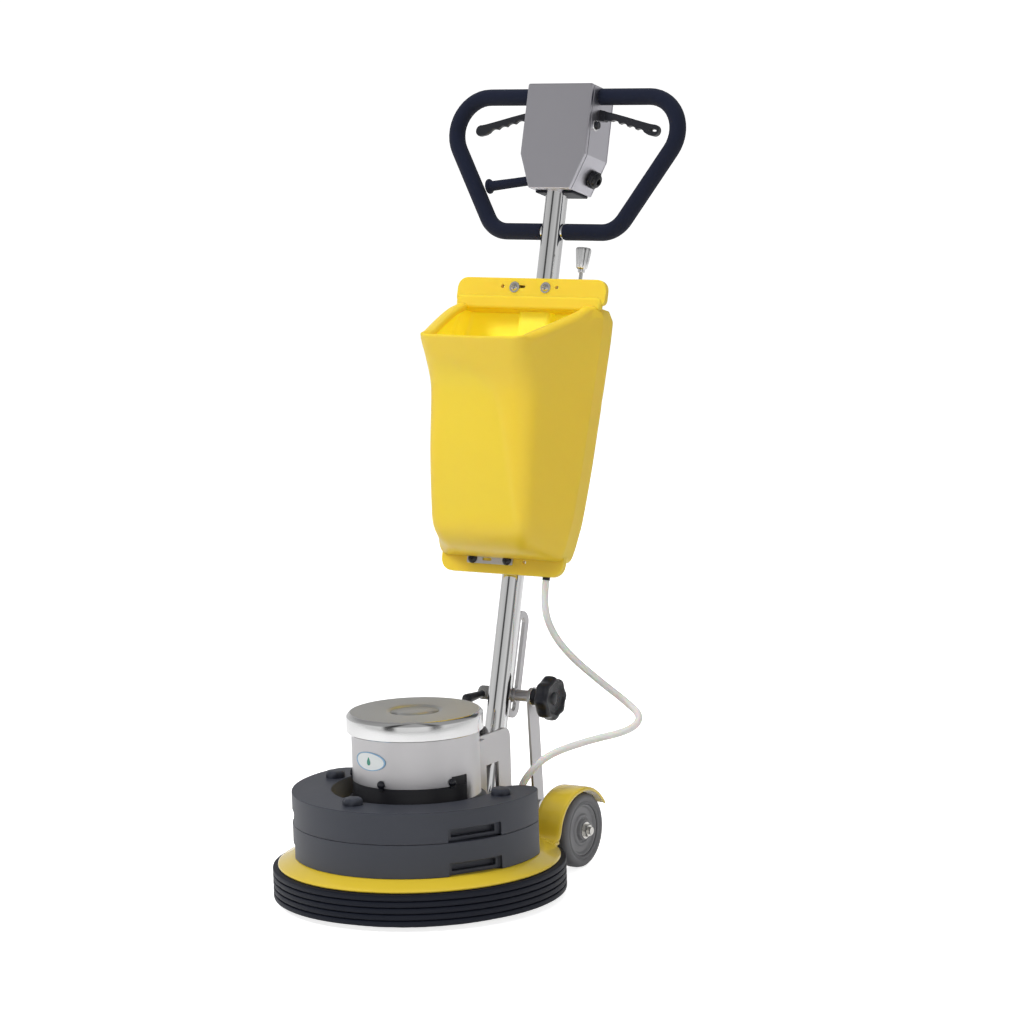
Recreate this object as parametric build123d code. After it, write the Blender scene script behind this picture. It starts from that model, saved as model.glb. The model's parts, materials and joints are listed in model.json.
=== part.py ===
from build123d import *
import math
import os

os.makedirs("parts", exist_ok=True)

# The part stands on the floor with its origin under the centre of the pad.
# +X is the machine's right, -Y its front, +Z up.  All sizes are in millimetres.

# Base
BUMPER_R, BUMPER_Z0, BUMPER_Z1, RIB_COUNT = 220.0, 8.0, 55.4, 5
SKIRT_R, SKIRT_WALL, SKIRT_Z0 = 205.0, 5.5, 14.0
RIM_R, RIM_Z, DECK_TOP, DECK_UNDER = 211.4, 59.6, 71.5, 64.5
DECK_HOLE_R = 62.0
PAD_R, PAD_TOP, DRIVER_R, DRIVER_TOP = 197.0, 22.0, 190.0, 36.0

# Weights
WEIGHT_R, WEIGHT_IN_R, WEIGHT_SPLIT, WEIGHT_TOP = 187.5, 128.0, 121.8, 168.5
WEIGHT_END_DEG = 14.0
STUD_RING_R, STUD_R, STUD_HEAD_R, STUD_HEAD_H = 147.0, 6.0, 14.6, 10.0
STUD_DEGS = (0.0, 180.0, -97.0)
POCKET_DEGS, POCKET_WIDE, POCKET_HIGH, POCKET_DEEP = (-30.0, -150.0), 87.0, 20.0, 14.0

# Motor and gearbox, on the pad's axis
HOUSING_R, COLLAR_R, COLLAR_Z0, COLLAR_Z1 = 104.0, 93.9, 150.0, 200.0
COVER_R, COVER_WALL, COVER_Z0, COVER_Z1, COVER_REAR_Z0 = 95.6, 1.6, 183.0, 254.8, 152.0
CAP_R, CAP_TOP, CAP_BEVEL = 102.5, 283.8, 5.0
STATOR_Z0, STATOR_Z1, STATOR_IN_R, ROTOR_R = 200.0, 240.0, 59.0, 58.4
SHAFT_R, SHAFT_END_R, FIT = 10.0, 8.0, 0.05
MODULE, SUN_TEETH, PLANET_TEETH, RING_TEETH = 1.25, 12, 30, 72
GEAR_Z0, GEAR_Z1, BACKLASH = 92.0, 104.0, 0.16
OUTPUT_R, PLANET_PIN_R = 20.0, 4.0
SCREW_DEGS, SCREW_R = (-90.0, -24.0, -156.0), 3.0
NOTCH_DEGS, NOTCH_TOP = (-24.0, -6.0), 197.0
BADGE_DEG, BADGE_Z, BADGE_WIDE, BADGE_HIGH = -103.0, 222.0, 62.0, 28.0

# Wheels and fenders
WHEEL_Y, WHEEL_Z, WHEEL_R, HUB_R = 252.0, 58.8, 58.0, 40.0
WHEEL_X0, WHEEL_X1, AXLE_R, AXLE_X = 112.0, 140.0, 6.0, 152.0
FENDER_WALL, FENDER_X0, FENDER_X1 = 4.0, 98.0, 144.0
FENDER_LINE = ((311, 93), (304, 101), (293, 111), (278, 120), (262, 125.3), (245, 127), (227, 125.5), (211, 121),
               (198, 114), (187, 105), (178.5, 94), (173, 83), (169.5, 73), (166, 66.5), (160, 63.2), (152, 62.6))

# Mast: a point on its axis, its lean, and its length measured up from that point
MAST_Y, MAST_Z, MAST_LEAN = 227.6, 216.6, 15.92
MAST_R, MAST_WALL, MAST_S0, MAST_S1 = 17.5, 2.0, -128.0, 978.0
PIVOT_S, PIVOT_R = -110.9, 6.0
YOKE_X, YOKE_WALL, YOKE_Y0, YOKE_Y1, YOKE_TOP = 22.0, 3.0, 143.0, 232.0, 216.0

# Struts and slotted link
BOLT_Y, BOLT_Z, BOLT_R = 281.0, 254.0, 4.0
FOOT_Y, FOOT_Z = 290.2, 80.0
STRUT_X, STRUT_WALL, STRUT_WIDE = 32.0, 4.0, 28.0
LINK_N, LINK_WIDE, LINK_WALL, SLOT_WIDE = 39.6, 35.0, 6.0, 13.0
LINK_S0, LINK_S1 = 15.0, 182.0

# Tank sections: height up the mast, front wall, half width in front, half width at the rear
TANK_SECTIONS = (
    (262.0, -88.0, 74.0, 108.0),
    (300.0, -124.0, 84.0, 124.0),
    (400.0, -148.0, 87.0, 129.0),
    (500.0, -168.0, 90.0, 132.0),
    (571.5, -208.5, 92.6, 135.0),
    (660.0, -246.0, 95.0, 137.0),
)
TANK_BACK, TANK_WALL, TANK_ROOF = -6.0, 5.0, 648.0
GROOVE_X, GROOVE_N = 24.0, -24.0
FLANGE_N0, FLANGE_N1, FLANGE_X, FLANGE_TOP = -48.0, -40.0, 136.0, 694.0
MOUTH_S, LIP_S, LIP_N = 656.0, 571.5, -208.5
SKIRT_FLANGE_X, SKIRT_FLANGE_S0, SKIRT_FLANGE_S1 = 110.0, 231.0, 300.0
VALVE_X, VALVE_N, SPIGOT_S = 74.0, -24.0, 227.0

# Handle loop and control box, in the mast's own directions
LOOP_N, LOOP_R, LOOP_WALL, GRIP_R = 4.0, 11.0, 1.5, 12.9
LOOP_TOP, LOOP_BOTTOM, LOOP_SHOULDER, LOOP_FOOT = 990.0, 775.0, 245.0, 111.0
SHOULDER_BEND, FOOT_BEND = 55.6, 45.0
BOX_N0, BOX_N1, BOX_WALL = -28.0, 42.0, 1.5
BOX_OUTLINE = ((-37, 838), (37, 838), (58.9, 893), (58.4, 1005), (-58.4, 1005), (-58.9, 893))
LEVER_N, LEVER_X, LEVER_S, LEVER_WIDE = 8.0, 46.0, 963.0, 8.0
BUTTON_N, BUTTON_S, BUTTON_R = -8.0, 942.0, 6.0
GLAND_X, GLAND_S, GLAND_N, GLAND_BORE = 47.0, 863.0, 22.0, 4.5
HOOK_N, HOOK_R = 4.0, 7.5

# Solution hose
HOSE_R = 5.5
INLET_X, INLET_Y, INLET_TOP = 65.5, 183.0, 98.0

MAST = Location((0, MAST_Y, MAST_Z), (-MAST_LEAN, 0, 0))
BASE_ALIGN = (Align.CENTER, Align.CENTER, Align.MIN)


def on_mast(shape):
    """Place a shape drawn as (across, behind, along) in the mast's own directions."""
    return MAST * shape


def mast_point(across, behind, along):
    lean = math.radians(MAST_LEAN)
    return Vector(across,
                  MAST_Y + along * math.sin(lean) + behind * math.cos(lean),
                  MAST_Z + along * math.cos(lean) - behind * math.sin(lean))


PIVOT = mast_point(0, 0, PIVOT_S)


def cyl(radius, z0, z1, x=0.0, y=0.0):
    return Pos(x, y, z0) * Cylinder(radius, z1 - z0, align=BASE_ALIGN)


def ring(r_in, r_out, z0, z1, x=0.0, y=0.0):
    return cyl(r_out, z0, z1, x, y) - cyl(r_in, z0 - 1, z1 + 1, x, y)


def rod_x(radius, x0, x1, y, z):
    return Pos(x0, y, z) * Rot(0, 90, 0) * Cylinder(radius, x1 - x0, align=BASE_ALIGN)


def rod_y(radius, y0, y1, x, z):
    return Pos(x, y0, z) * Rot(-90, 0, 0) * Cylinder(radius, y1 - y0, align=BASE_ALIGN)


def rod_between(start, end, r_start, r_end):
    start = Vector(start)
    run = Vector(end) - start
    plane = Plane(origin=start, z_dir=run.normalized())
    if r_start == r_end:
        return plane * Cylinder(r_start, run.length, align=BASE_ALIGN)
    return plane * Cone(r_start, r_end, run.length, align=BASE_ALIGN)


def block(x0, x1, y0, y1, z0, z1):
    centre = Pos((x0 + x1) / 2, (y0 + y1) / 2, (z0 + z1) / 2)
    return centre * Box(x1 - x0, y1 - y0, z1 - z0)


def revolved(points):
    return revolve(Plane.XZ * Polygon(*points, align=None), Axis.Z)


def plate_x(sketch, x0, x1):
    """A plate drawn in (y, z), between two X positions."""
    return Pos(x0, 0, 0) * extrude(Plane.YZ * sketch, amount=x1 - x0, dir=(1, 0, 0))


def plate_y(sketch, y0, y1):
    """A plate drawn in (x, z), between two Y positions."""
    return Pos(0, y1, 0) * extrude(Plane.XZ * sketch, amount=y1 - y0, dir=(0, -1, 0))


def mirrored(shape):
    return mirror(shape, about=Plane.YZ)


def save(name, shape):
    solids = shape.solids() if hasattr(shape, "solids") else shape
    export_step(Compound(list(solids)) if len(solids) > 1 else solids[0], f"parts/{name}.step")


# ---------------------------------------------------------------- base casting

def deck_disc():
    inner = SKIRT_R - SKIRT_WALL
    return revolved([
        (DECK_HOLE_R, DECK_TOP), (WEIGHT_R + 0.5, DECK_TOP), (RIM_R, RIM_Z), (RIM_R, BUMPER_Z1 + 0.2),
        (SKIRT_R, BUMPER_Z1 + 0.2), (SKIRT_R, SKIRT_Z0), (inner, SKIRT_Z0), (inner, 57),
        (inner - 12, DECK_UNDER), (DECK_HOLE_R, DECK_UNDER)])


def fender_line(depth):
    """The fender's outer line in (y, z), moved inward by a depth."""
    points = [Vector(*point) for point in FENDER_LINE]
    line = []
    for index, point in enumerate(points):
        ahead = points[min(index + 1, len(points) - 1)] - points[max(index - 1, 0)]
        inward = Vector(-ahead.Y, ahead.X).normalized()
        line.append(point + inward * depth)
    return [(point.X, point.Y) for point in line]


def fender():
    arch = Polygon(*fender_line(0), *reversed(fender_line(FENDER_WALL)), align=None)
    web = Polygon(*fender_line(1)[:-3], (WHEEL_Y, WHEEL_Z), align=None) + Pos(WHEEL_Y, WHEEL_Z) * Circle(14)
    shell = plate_x(arch, FENDER_X0, FENDER_X1) + plate_x(web, FENDER_X0, FENDER_X0 + 5)
    toe = block(FENDER_X0 - 12, FENDER_X1, 150, 168, BUMPER_Z1 + 0.4, RIM_Z + 0.6)
    return shell + toe


def base_deck():
    deck = deck_disc()
    side = fender()
    deck += side + mirrored(side)
    deck += block(-FENDER_X0 - 2, FENDER_X0 + 2, 150, 236, BUMPER_Z1 + 0.6, 62)
    deck += block(-31, 31, 180, 232, 60, 72.5) + block(-31, 31, 230, 302, 66.5, 72.5)
    lug = Pos(FOOT_Y, FOOT_Z) * Circle(12) + Polygon((FOOT_Y - 14, 67), (FOOT_Y + 11.8, 67),
                                                     (FOOT_Y + 11.8, FOOT_Z), (FOOT_Y - 11, FOOT_Z), align=None)
    lugs = plate_x(lug, 24, 31) + plate_x(lug, -31, -24)
    deck += lugs
    deck -= rod_x(PIVOT_R, -40, 40, FOOT_Y, FOOT_Z)
    deck -= rod_x(AXLE_R, -FENDER_X1, FENDER_X1, WHEEL_Y, WHEEL_Z)
    deck -= cyl(DECK_HOLE_R, 40, 90)
    deck -= cyl(5, 50, 90, INLET_X, INLET_Y)
    for deg in STUD_DEGS:
        deck -= Rot(0, 0, deg) * cyl(STUD_R, 60, 80, STUD_RING_R)
    return deck


def bumper():
    pitch = (BUMPER_Z1 - BUMPER_Z0) / RIB_COUNT
    points = [(SKIRT_R, BUMPER_Z0), (BUMPER_R - 3, BUMPER_Z0)]
    for rib in range(RIB_COUNT):
        z0 = BUMPER_Z0 + rib * pitch
        points += [(BUMPER_R, z0 + 1.6), (BUMPER_R, z0 + pitch - 1.8), (BUMPER_R - 3, z0 + pitch - 0.4)]
    points += [(BUMPER_R - 4, BUMPER_Z1), (SKIRT_R, BUMPER_Z1)]
    return revolved(points)


def hose_inlet():
    body = cyl(9, 58, 76, INLET_X, INLET_Y) + cyl(4.9, 52, 78, INLET_X, INLET_Y)
    body += cyl(HOSE_R + 0.4, 76, INLET_TOP, INLET_X, INLET_Y)
    return body - base_deck()


# ---------------------------------------------------------------- weights

def weight(z0, z1):
    """A C-shaped ring, open at the rear, with rounded ends and two hand holds."""
    mid, half = (WEIGHT_R + WEIGHT_IN_R) / 2, (WEIGHT_R - WEIGHT_IN_R) / 2
    end = math.radians(WEIGHT_END_DEG)
    far = 400.0
    opening = Polygon((0, 0), (far * math.cos(end), far * math.sin(end)), (far, far), (-far, far),
                      (-far * math.cos(end), far * math.sin(end)), align=None)
    outline = Circle(WEIGHT_R) - Circle(WEIGHT_IN_R) - opening
    tip = Pos(mid * math.cos(end), mid * math.sin(end)) * Circle(half)
    outline = outline + tip + mirror(tip, about=Plane.YZ)
    body = Pos(0, 0, z0) * extrude(outline, amount=z1 - z0)
    rims = body.edges().filter_by(lambda edge: abs(edge.center().Z - z1) < 0.01)
    body = chamfer(rims, 2.0)
    for deg in POCKET_DEGS:
        pocket = block(WEIGHT_R - POCKET_DEEP, WEIGHT_R + 10, -POCKET_WIDE / 2, POCKET_WIDE / 2,
                       z0 - 1, z0 + POCKET_HIGH)
        body -= Rot(0, 0, deg) * pocket
    for deg in STUD_DEGS:
        body -= Rot(0, 0, deg) * cyl(STUD_R, z0 - 1, z1 + 1, STUD_RING_R)
    return body


def weight_knobs():
    stud = cyl(STUD_R, DECK_UNDER - 2, WEIGHT_TOP, STUD_RING_R)
    head = cyl(STUD_HEAD_R, WEIGHT_TOP, WEIGHT_TOP + STUD_HEAD_H, STUD_RING_R)
    head = chamfer(head.edges().filter_by(lambda edge: edge.center().Z > WEIGHT_TOP + STUD_HEAD_H - 1), 2)
    return Compound([piece for deg in STUD_DEGS for piece in (Rot(0, 0, deg) * (stud + head)).solids()])


# ---------------------------------------------------------------- gears

def involute_half_angle(radius, base_radius, half_at_base):
    """Half the angle that a tooth takes up at a radius."""
    if radius <= base_radius:
        return half_at_base
    pressure = math.acos(base_radius / radius)
    return half_at_base - (math.tan(pressure) - pressure)


def gear_outline(teeth, root, tip, thinning):
    pitch_radius = MODULE * teeth / 2
    base_radius = pitch_radius * math.cos(math.radians(20))
    pressure = math.radians(20)
    half_at_pitch = math.pi / 2 / teeth - thinning / 2 / pitch_radius
    half_at_base = half_at_pitch + math.tan(pressure) - pressure
    steps = 5
    radii = [root + (tip - root) * step / steps for step in range(steps + 1)]
    points = []
    for tooth in range(teeth):
        centre = 2 * math.pi * tooth / teeth
        flank = [(r, involute_half_angle(r, base_radius, half_at_base)) for r in radii]
        left = [(r, centre - half) for r, half in flank]
        right = [(r, centre + half) for r, half in reversed(flank)]
        points += [(r * math.cos(a), r * math.sin(a)) for r, a in left + right]
    return Polygon(*points, align=None)


def external_gear(teeth, z0, z1):
    pitch_radius = MODULE * teeth / 2
    outline = gear_outline(teeth, pitch_radius - 1.2 * MODULE, pitch_radius + 0.85 * MODULE, BACKLASH)
    return Pos(0, 0, z0) * extrude(outline, amount=z1 - z0)


def planet_places():
    radius = MODULE * (SUN_TEETH + PLANET_TEETH) / 2
    return [(radius, deg) for deg in (0.0, 120.0, 240.0)]


def planet_gear(radius, deg):
    half_tooth = 180.0 / PLANET_TEETH
    gear = Rot(0, 0, half_tooth) * external_gear(PLANET_TEETH, GEAR_Z0, GEAR_Z1)
    gear -= cyl(PLANET_PIN_R + FIT, GEAR_Z0 - 1, GEAR_Z1 + 1)
    return Rot(0, 0, deg) * (Pos(radius, 0, 0) * gear)


def ring_gear():
    pitch_radius = MODULE * RING_TEETH / 2
    gaps = gear_outline(RING_TEETH, pitch_radius - 0.85 * MODULE, pitch_radius + 1.2 * MODULE, -BACKLASH)
    half_tooth = 180.0 / RING_TEETH
    cutter = Pos(0, 0, GEAR_Z0 - 2) * extrude(Rot(0, 0, half_tooth) * gaps, amount=20)
    return cyl(50, GEAR_Z0 - 0.5, GEAR_Z1 + 0.5) - cutter


def planet_carrier():
    body = cyl(36, 86, 91) + cyl(OUTPUT_R - FIT, DRIVER_TOP, 86)
    for radius, deg in planet_places():
        body += Rot(0, 0, deg) * cyl(PLANET_PIN_R, 90, GEAR_Z1 + 3, radius)
    return body


# ---------------------------------------------------------------- motor

def gearbox_housing():
    body = cyl(HOUSING_R, DECK_TOP, COLLAR_Z0) + cyl(COLLAR_R, COLLAR_Z0, COLLAR_Z1)
    body += cyl(DECK_HOLE_R - 0.2, DECK_UNDER - 6, DECK_TOP)
    body -= cyl(OUTPUT_R, 40, 90)
    body -= cyl(50, 84, 118)
    body -= cyl(SHAFT_R + FIT, 110, 140)
    body -= cyl(86, 128, COLLAR_Z1 + 1)
    for deg in SCREW_DEGS:
        body -= Rot(0, 0, deg) * rod_x(SCREW_R, 85, 110, 0, COVER_Z0 + 6)
    return body


def rotor_shaft():
    shaft = cyl(SHAFT_R, 106, 240) + cyl(SHAFT_END_R, 240, 256) + cyl(5.5, 92, 107)
    return shaft + external_gear(SUN_TEETH, GEAR_Z0, GEAR_Z1)


def stator():
    body = ring(STATOR_IN_R, 92, STATOR_Z0, STATOR_Z1)
    winding = ring(STATOR_IN_R + 5, 82, STATOR_Z1, STATOR_Z1 + 10)
    return body + winding


def polar(radius, deg):
    angle = math.radians(deg)
    return radius * math.cos(angle), radius * math.sin(angle)


def motor_cover():
    """A sleeve that is cut short in front and reaches down behind, with a notch at its right."""
    shell = ring(COVER_R - COVER_WALL, COVER_R, COVER_REAR_Z0, COVER_Z1)
    for deg in SCREW_DEGS:
        shell -= Rot(0, 0, deg) * rod_x(SCREW_R, 80, 110, 0, COVER_Z0 + 6)
    far = 150.0
    notch_start, notch_end = NOTCH_DEGS
    front = Polygon((0, 0), polar(far, 180 - notch_end), (-far, -far), (far, -far), polar(far, notch_end), align=None)
    notch = Polygon((0, 0), polar(far, notch_start), polar(far, notch_end), align=None)
    below = COVER_REAR_Z0 - 1
    shell -= Pos(0, 0, below) * extrude(front, amount=COVER_Z0 - below)
    return shell - Pos(0, 0, below) * extrude(notch, amount=NOTCH_TOP - below)


def motor_cap():
    dish = 37.0
    shell = revolved([
        (COVER_R + 0.6, COVER_Z1), (CAP_R, COVER_Z1), (CAP_R, CAP_TOP - CAP_BEVEL), (CAP_R - CAP_BEVEL, CAP_TOP),
        (dish + 4, CAP_TOP), (dish, CAP_TOP - 3), (0, CAP_TOP - 3), (0, 262), (16, 262), (16, CAP_TOP - 6),
        (COVER_R - 6, CAP_TOP - 6), (COVER_R - 6, COVER_Z1 + 3), (COVER_R + 0.6, COVER_Z1 + 3)])
    boss = ring(SHAFT_END_R + FIT, 16, 244, 266)
    return shell + boss - cyl(SHAFT_END_R + FIT, 240, 260)


def cover_screws():
    screw = rod_x(SCREW_R, 87, 97, 0, COVER_Z0 + 6) + rod_x(6, COVER_R + 0.1, COVER_R + 5, 0, COVER_Z0 + 6)
    return Compound([piece for deg in SCREW_DEGS for piece in (Rot(0, 0, deg) * screw).solids()])


def badge():
    oval = plate_x(Ellipse(BADGE_WIDE / 2, BADGE_HIGH / 2), 80, 110)
    skin = ring(COVER_R, COVER_R + 1.8, -20, 20)
    return Rot(0, 0, BADGE_DEG) * (Pos(0, 0, BADGE_Z) * (oval & skin))


def rear_cover():
    shell = block(-34, 34, 60, 142, 80, 214) - block(-32.4, 32.4, 50, 140.4, 70, 212.4)
    shell -= cyl(HOUSING_R + 0.2, 60, COLLAR_Z0 + 0.2)
    return shell - cyl(COVER_R + 0.2, 140, 230)


def capacitor():
    return cyl(16, 92, 200, 0, 123)


def yoke():
    side = block(YOKE_X - YOKE_WALL, YOKE_X, YOKE_Y0, YOKE_Y1, 66, YOKE_TOP)
    side = fillet(side.edges().filter_by(Axis.X).filter_by(
        lambda edge: edge.center().Z > 200 and edge.center().Y > 200), 16)
    side -= block(0, 40, 154, 196, 124, 168)
    front = block(-YOKE_X, YOKE_X, YOKE_Y0, YOKE_Y0 + YOKE_WALL, 66, YOKE_TOP)
    body = front + side + mirrored(side)
    body -= rod_x(PIVOT_R, -40, 40, PIVOT.Y, PIVOT.Z)
    return body - base_deck()


def pivot_bolt():
    shank = rod_x(PIVOT_R, -YOKE_X, YOKE_X, PIVOT.Y, PIVOT.Z)
    head = rod_x(10, YOKE_X, YOKE_X + 6, PIVOT.Y, PIVOT.Z)
    return shank + head + mirrored(head)


# ---------------------------------------------------------------- wheels

def axle():
    return rod_x(AXLE_R, -AXLE_X, AXLE_X, WHEEL_Y, WHEEL_Z)


def axle_nuts():
    hexagon = Pos(WHEEL_Y, WHEEL_Z) * (RegularPolygon(10, 6) - Circle(AXLE_R))
    washer = Pos(WHEEL_Y, WHEEL_Z) * (Circle(13) - Circle(AXLE_R))
    nut = plate_x(hexagon, WHEEL_X1 + 2, WHEEL_X1 + 8) + plate_x(washer, WHEEL_X1 + 0.4, WHEEL_X1 + 2)
    return Compound(list(nut.solids()) + list(mirrored(nut).solids()))


def wheel_hub():
    body = rod_x(HUB_R, WHEEL_X0 + 4, WHEEL_X1 - 5, WHEEL_Y, WHEEL_Z)
    body += rod_x(16, WHEEL_X0, WHEEL_X1, WHEEL_Y, WHEEL_Z)
    return body - rod_x(AXLE_R + FIT, 100, 160, WHEEL_Y, WHEEL_Z)


def wheel_tyre():
    body = rod_x(WHEEL_R, WHEEL_X0, WHEEL_X1, WHEEL_Y, WHEEL_Z)
    body = fillet(body.edges().filter_by(GeomType.CIRCLE), 5)
    return body - rod_x(HUB_R, 100, 160, WHEEL_Y, WHEEL_Z)


# ---------------------------------------------------------------- struts and clamps

def strut():
    """The right flat bar, with its spacer sleeve beside the slotted link."""
    run = Vector(0, BOLT_Y - FOOT_Y, BOLT_Z - FOOT_Z)
    lean = math.degrees(math.atan2(run.Y, run.Z))
    bar = Pos((FOOT_Y + BOLT_Y) / 2, (FOOT_Z + BOLT_Z) / 2) * (
        Rot(0, 0, -lean) * SlotCenterToCenter(run.length, STRUT_WIDE, rotation=90))
    body = plate_x(bar, STRUT_X, STRUT_X + STRUT_WALL)
    body += rod_x(9, 5, STRUT_X, BOLT_Y, BOLT_Z) + rod_x(12, LINK_WALL / 2 + 0.4, 7, BOLT_Y, BOLT_Z)
    body -= rod_x(BOLT_R, 0, 60, BOLT_Y, BOLT_Z)
    return body - rod_x(PIVOT_R + FIT, 0, 60, FOOT_Y, FOOT_Z)


def strut_pin():
    shank = rod_x(PIVOT_R, -STRUT_X - STRUT_WALL - 0.4, STRUT_X + STRUT_WALL + 0.4, FOOT_Y, FOOT_Z)
    head = rod_x(9, STRUT_X + STRUT_WALL + 0.4, STRUT_X + STRUT_WALL + 4, FOOT_Y, FOOT_Z)
    return shank + head + mirrored(head)


def clamp_bolt():
    return rod_x(BOLT_R, -52, 66, BOLT_Y, BOLT_Z)


def star_knob():
    lobes = Circle(33)
    for lobe in range(8):
        angle = 2 * math.pi * lobe / 8
        lobes += Pos(29 * math.cos(angle), 29 * math.sin(angle)) * Circle(8)
    disc = plate_x(Pos(BOLT_Y, BOLT_Z) * lobes, 52, 78)
    collar = rod_x(12, STRUT_X + STRUT_WALL + 0.4, 53, BOLT_Y, BOLT_Z)
    return disc + collar - rod_x(BOLT_R + FIT, 30, 66.5, BOLT_Y, BOLT_Z)


def cam_lever():
    x_in = -STRUT_X - STRUT_WALL - 0.4
    hub = rod_x(11, -60, x_in, BOLT_Y, BOLT_Z)
    arm = rod_y(8, BOLT_Y - 60, BOLT_Y - 5, -51, BOLT_Z)
    return hub + arm - rod_x(BOLT_R + FIT, -52.5, x_in + 1, BOLT_Y, BOLT_Z)


# ---------------------------------------------------------------- mast

def mast_cylinder(radius, s0, s1):
    return on_mast(cyl(radius, s0, s1))


def mast_tube():
    tube = mast_cylinder(MAST_R, MAST_S0, MAST_S1) - mast_cylinder(MAST_R - MAST_WALL, MAST_S0 - 1, MAST_S1 + 1)
    sleeve = rod_x(10, -MAST_R + 1, MAST_R - 1, PIVOT.Y, PIVOT.Z)
    return tube + sleeve - rod_x(PIVOT_R + FIT, -30, 30, PIVOT.Y, PIVOT.Z)


def slotted_link():
    mid, length = (LINK_S0 + LINK_S1) / 2, LINK_S1 - LINK_S0
    outer = SlotOverall(length, LINK_WIDE, rotation=90)
    slot = SlotOverall(length - LINK_WIDE + SLOT_WIDE, SLOT_WIDE, rotation=90)
    tabs = Pos(-LINK_WIDE / 2, length / 2 - 30) * Rectangle(30, 18)
    tabs += Pos(-LINK_WIDE / 2, -length / 2 + 24) * Rectangle(30, 18)
    plate = plate_x(Pos(LINK_N, mid) * (outer + tabs - slot), -LINK_WALL / 2, LINK_WALL / 2)
    return on_mast(plate) - mast_cylinder(MAST_R, MAST_S0, MAST_S1)


# ---------------------------------------------------------------- tank

def tank_section(s, front, half_front, half_back, inset):
    """One slice of the tank's body, across the mast."""
    outline = Polygon(
        (-half_front + inset, front + inset), (half_front - inset, front + inset),
        (half_back - inset, -40), (half_back - inset, TANK_BACK - inset),
        (-half_back + inset, TANK_BACK - inset), (-half_back + inset, -40), align=None)
    corners = outline.vertices().filter_by(lambda v: v.Y < -60)
    outline = fillet(corners, 22 - inset)
    return Pos(0, 0, s) * outline


def tank_body(inset, floor):
    sections = []
    for s, front, half_front, half_back in TANK_SECTIONS:
        height = s + floor if s == TANK_SECTIONS[0][0] else s
        sections.append(tank_section(height, front, half_front, half_back, inset))
    parts = [loft([low, high], ruled=True) for low, high in zip(sections, sections[1:])]
    body = parts[0]
    for part in parts[1:]:
        body += part
    return body


def mouth_cut():
    """Everything above the sloping mouth and above the roof behind it."""
    slope = (MOUTH_S - LIP_S) / (FLANGE_N0 - LIP_N)
    front = -400.0
    profile = Polygon((FLANGE_N0, MOUTH_S), (front, MOUTH_S + slope * (front - FLANGE_N0)),
                      (front, 900), (100, 900), (100, TANK_ROOF), (FLANGE_N0, TANK_ROOF), align=None)
    return plate_x(profile, -300, 300)


def tank_cavity():
    inner = tank_body(TANK_WALL, TANK_WALL)
    roof = plate_x(Polygon((FLANGE_N0, TANK_ROOF - TANK_WALL), (100, TANK_ROOF - TANK_WALL),
                           (100, 900), (FLANGE_N0, 900), align=None), -300, 300)
    rib = block(-GROOVE_X - TANK_WALL, GROOVE_X + TANK_WALL, GROOVE_N - TANK_WALL, 20, 200, 700)
    return inner - roof - rib


def tank():
    body = tank_body(0, 0) - mouth_cut()
    body -= block(-GROOVE_X, GROOVE_X, GROOVE_N, 20, 200, 700)
    flange = Pos(0, (TANK_ROOF - 10 + FLANGE_TOP) / 2) * RectangleRounded(2 * FLANGE_X, FLANGE_TOP - TANK_ROOF + 10, 14)
    body += plate_y(flange, FLANGE_N0, FLANGE_N1)
    foot = Pos(0, (SKIRT_FLANGE_S0 + SKIRT_FLANGE_S1) / 2) * RectangleRounded(
        2 * SKIRT_FLANGE_X, SKIRT_FLANGE_S1 - SKIRT_FLANGE_S0, 20)
    body += plate_y(foot, -38, -30)
    body -= tank_cavity()
    for x in (-28, 28):
        body -= rod_y(4, -60, -20, x, 678)
    for x in (-48, 48):
        body -= rod_y(3, -60, -20, x, 678)
    for x in (-52, 10):
        body -= rod_y(4, -60, -20, x, 252)
    body -= cyl(6, 640, 660, VALVE_X, VALVE_N)
    body -= cyl(8, 240, 275, VALVE_X, VALVE_N)
    return on_mast(body)


def upper_bracket():
    body = block(-40, 40, FLANGE_N1, FLANGE_N1 + 3, 664, 692)
    body += block(-40, -37, FLANGE_N1, 4, 664, 692) + block(37, 40, FLANGE_N1, 4, 664, 692)
    body += block(-40, 40, 4, 7, 664, 692)
    for x in (-28, 28):
        body -= rod_y(4, -60, -30, x, 678)
    return on_mast(body - cyl(MAST_R, 600, 700))


def lower_bracket():
    body = block(-62, 20, -30, -27, 240, 258) + block(-10, 4, -27, -10, 240, 258)
    for x in (-52, 10):
        body -= rod_y(4, -60, -20, x, 252)
    return on_mast(body - cyl(MAST_R, 200, 300))


def clip_plate():
    body = block(-62, 20, -40.5, -38, 245, 259)
    for x in (-52, 10):
        body -= rod_y(4, -60, -20, x, 252)
    return on_mast(body)


def tank_screws():
    pieces = []
    for x, s, face in ((-28, 678, FLANGE_N0), (28, 678, FLANGE_N0), (-52, 252, -40.5), (10, 252, -40.5)):
        screw = rod_y(4, face, face + 15, x, s) + rod_y(7.5, face - 5, face, x, s)
        pieces += on_mast(screw).solids()
    return Compound(pieces)


def tank_spigot():
    body = cyl(8, 258, 275, VALVE_X, VALVE_N) + cyl(12, 252, 262, VALVE_X, VALVE_N)
    body += cyl(HOSE_R + 0.4, SPIGOT_S, 254, VALVE_X, VALVE_N)
    body -= cyl(4, SPIGOT_S + 10, 280, VALVE_X, VALVE_N)
    return on_mast(body) - tank()


def valve_rod():
    body = cyl(3, 276.5, 716, VALVE_X, VALVE_N) + cyl(9, 275.4, 283, VALVE_X, VALVE_N)
    return on_mast(body)


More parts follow.
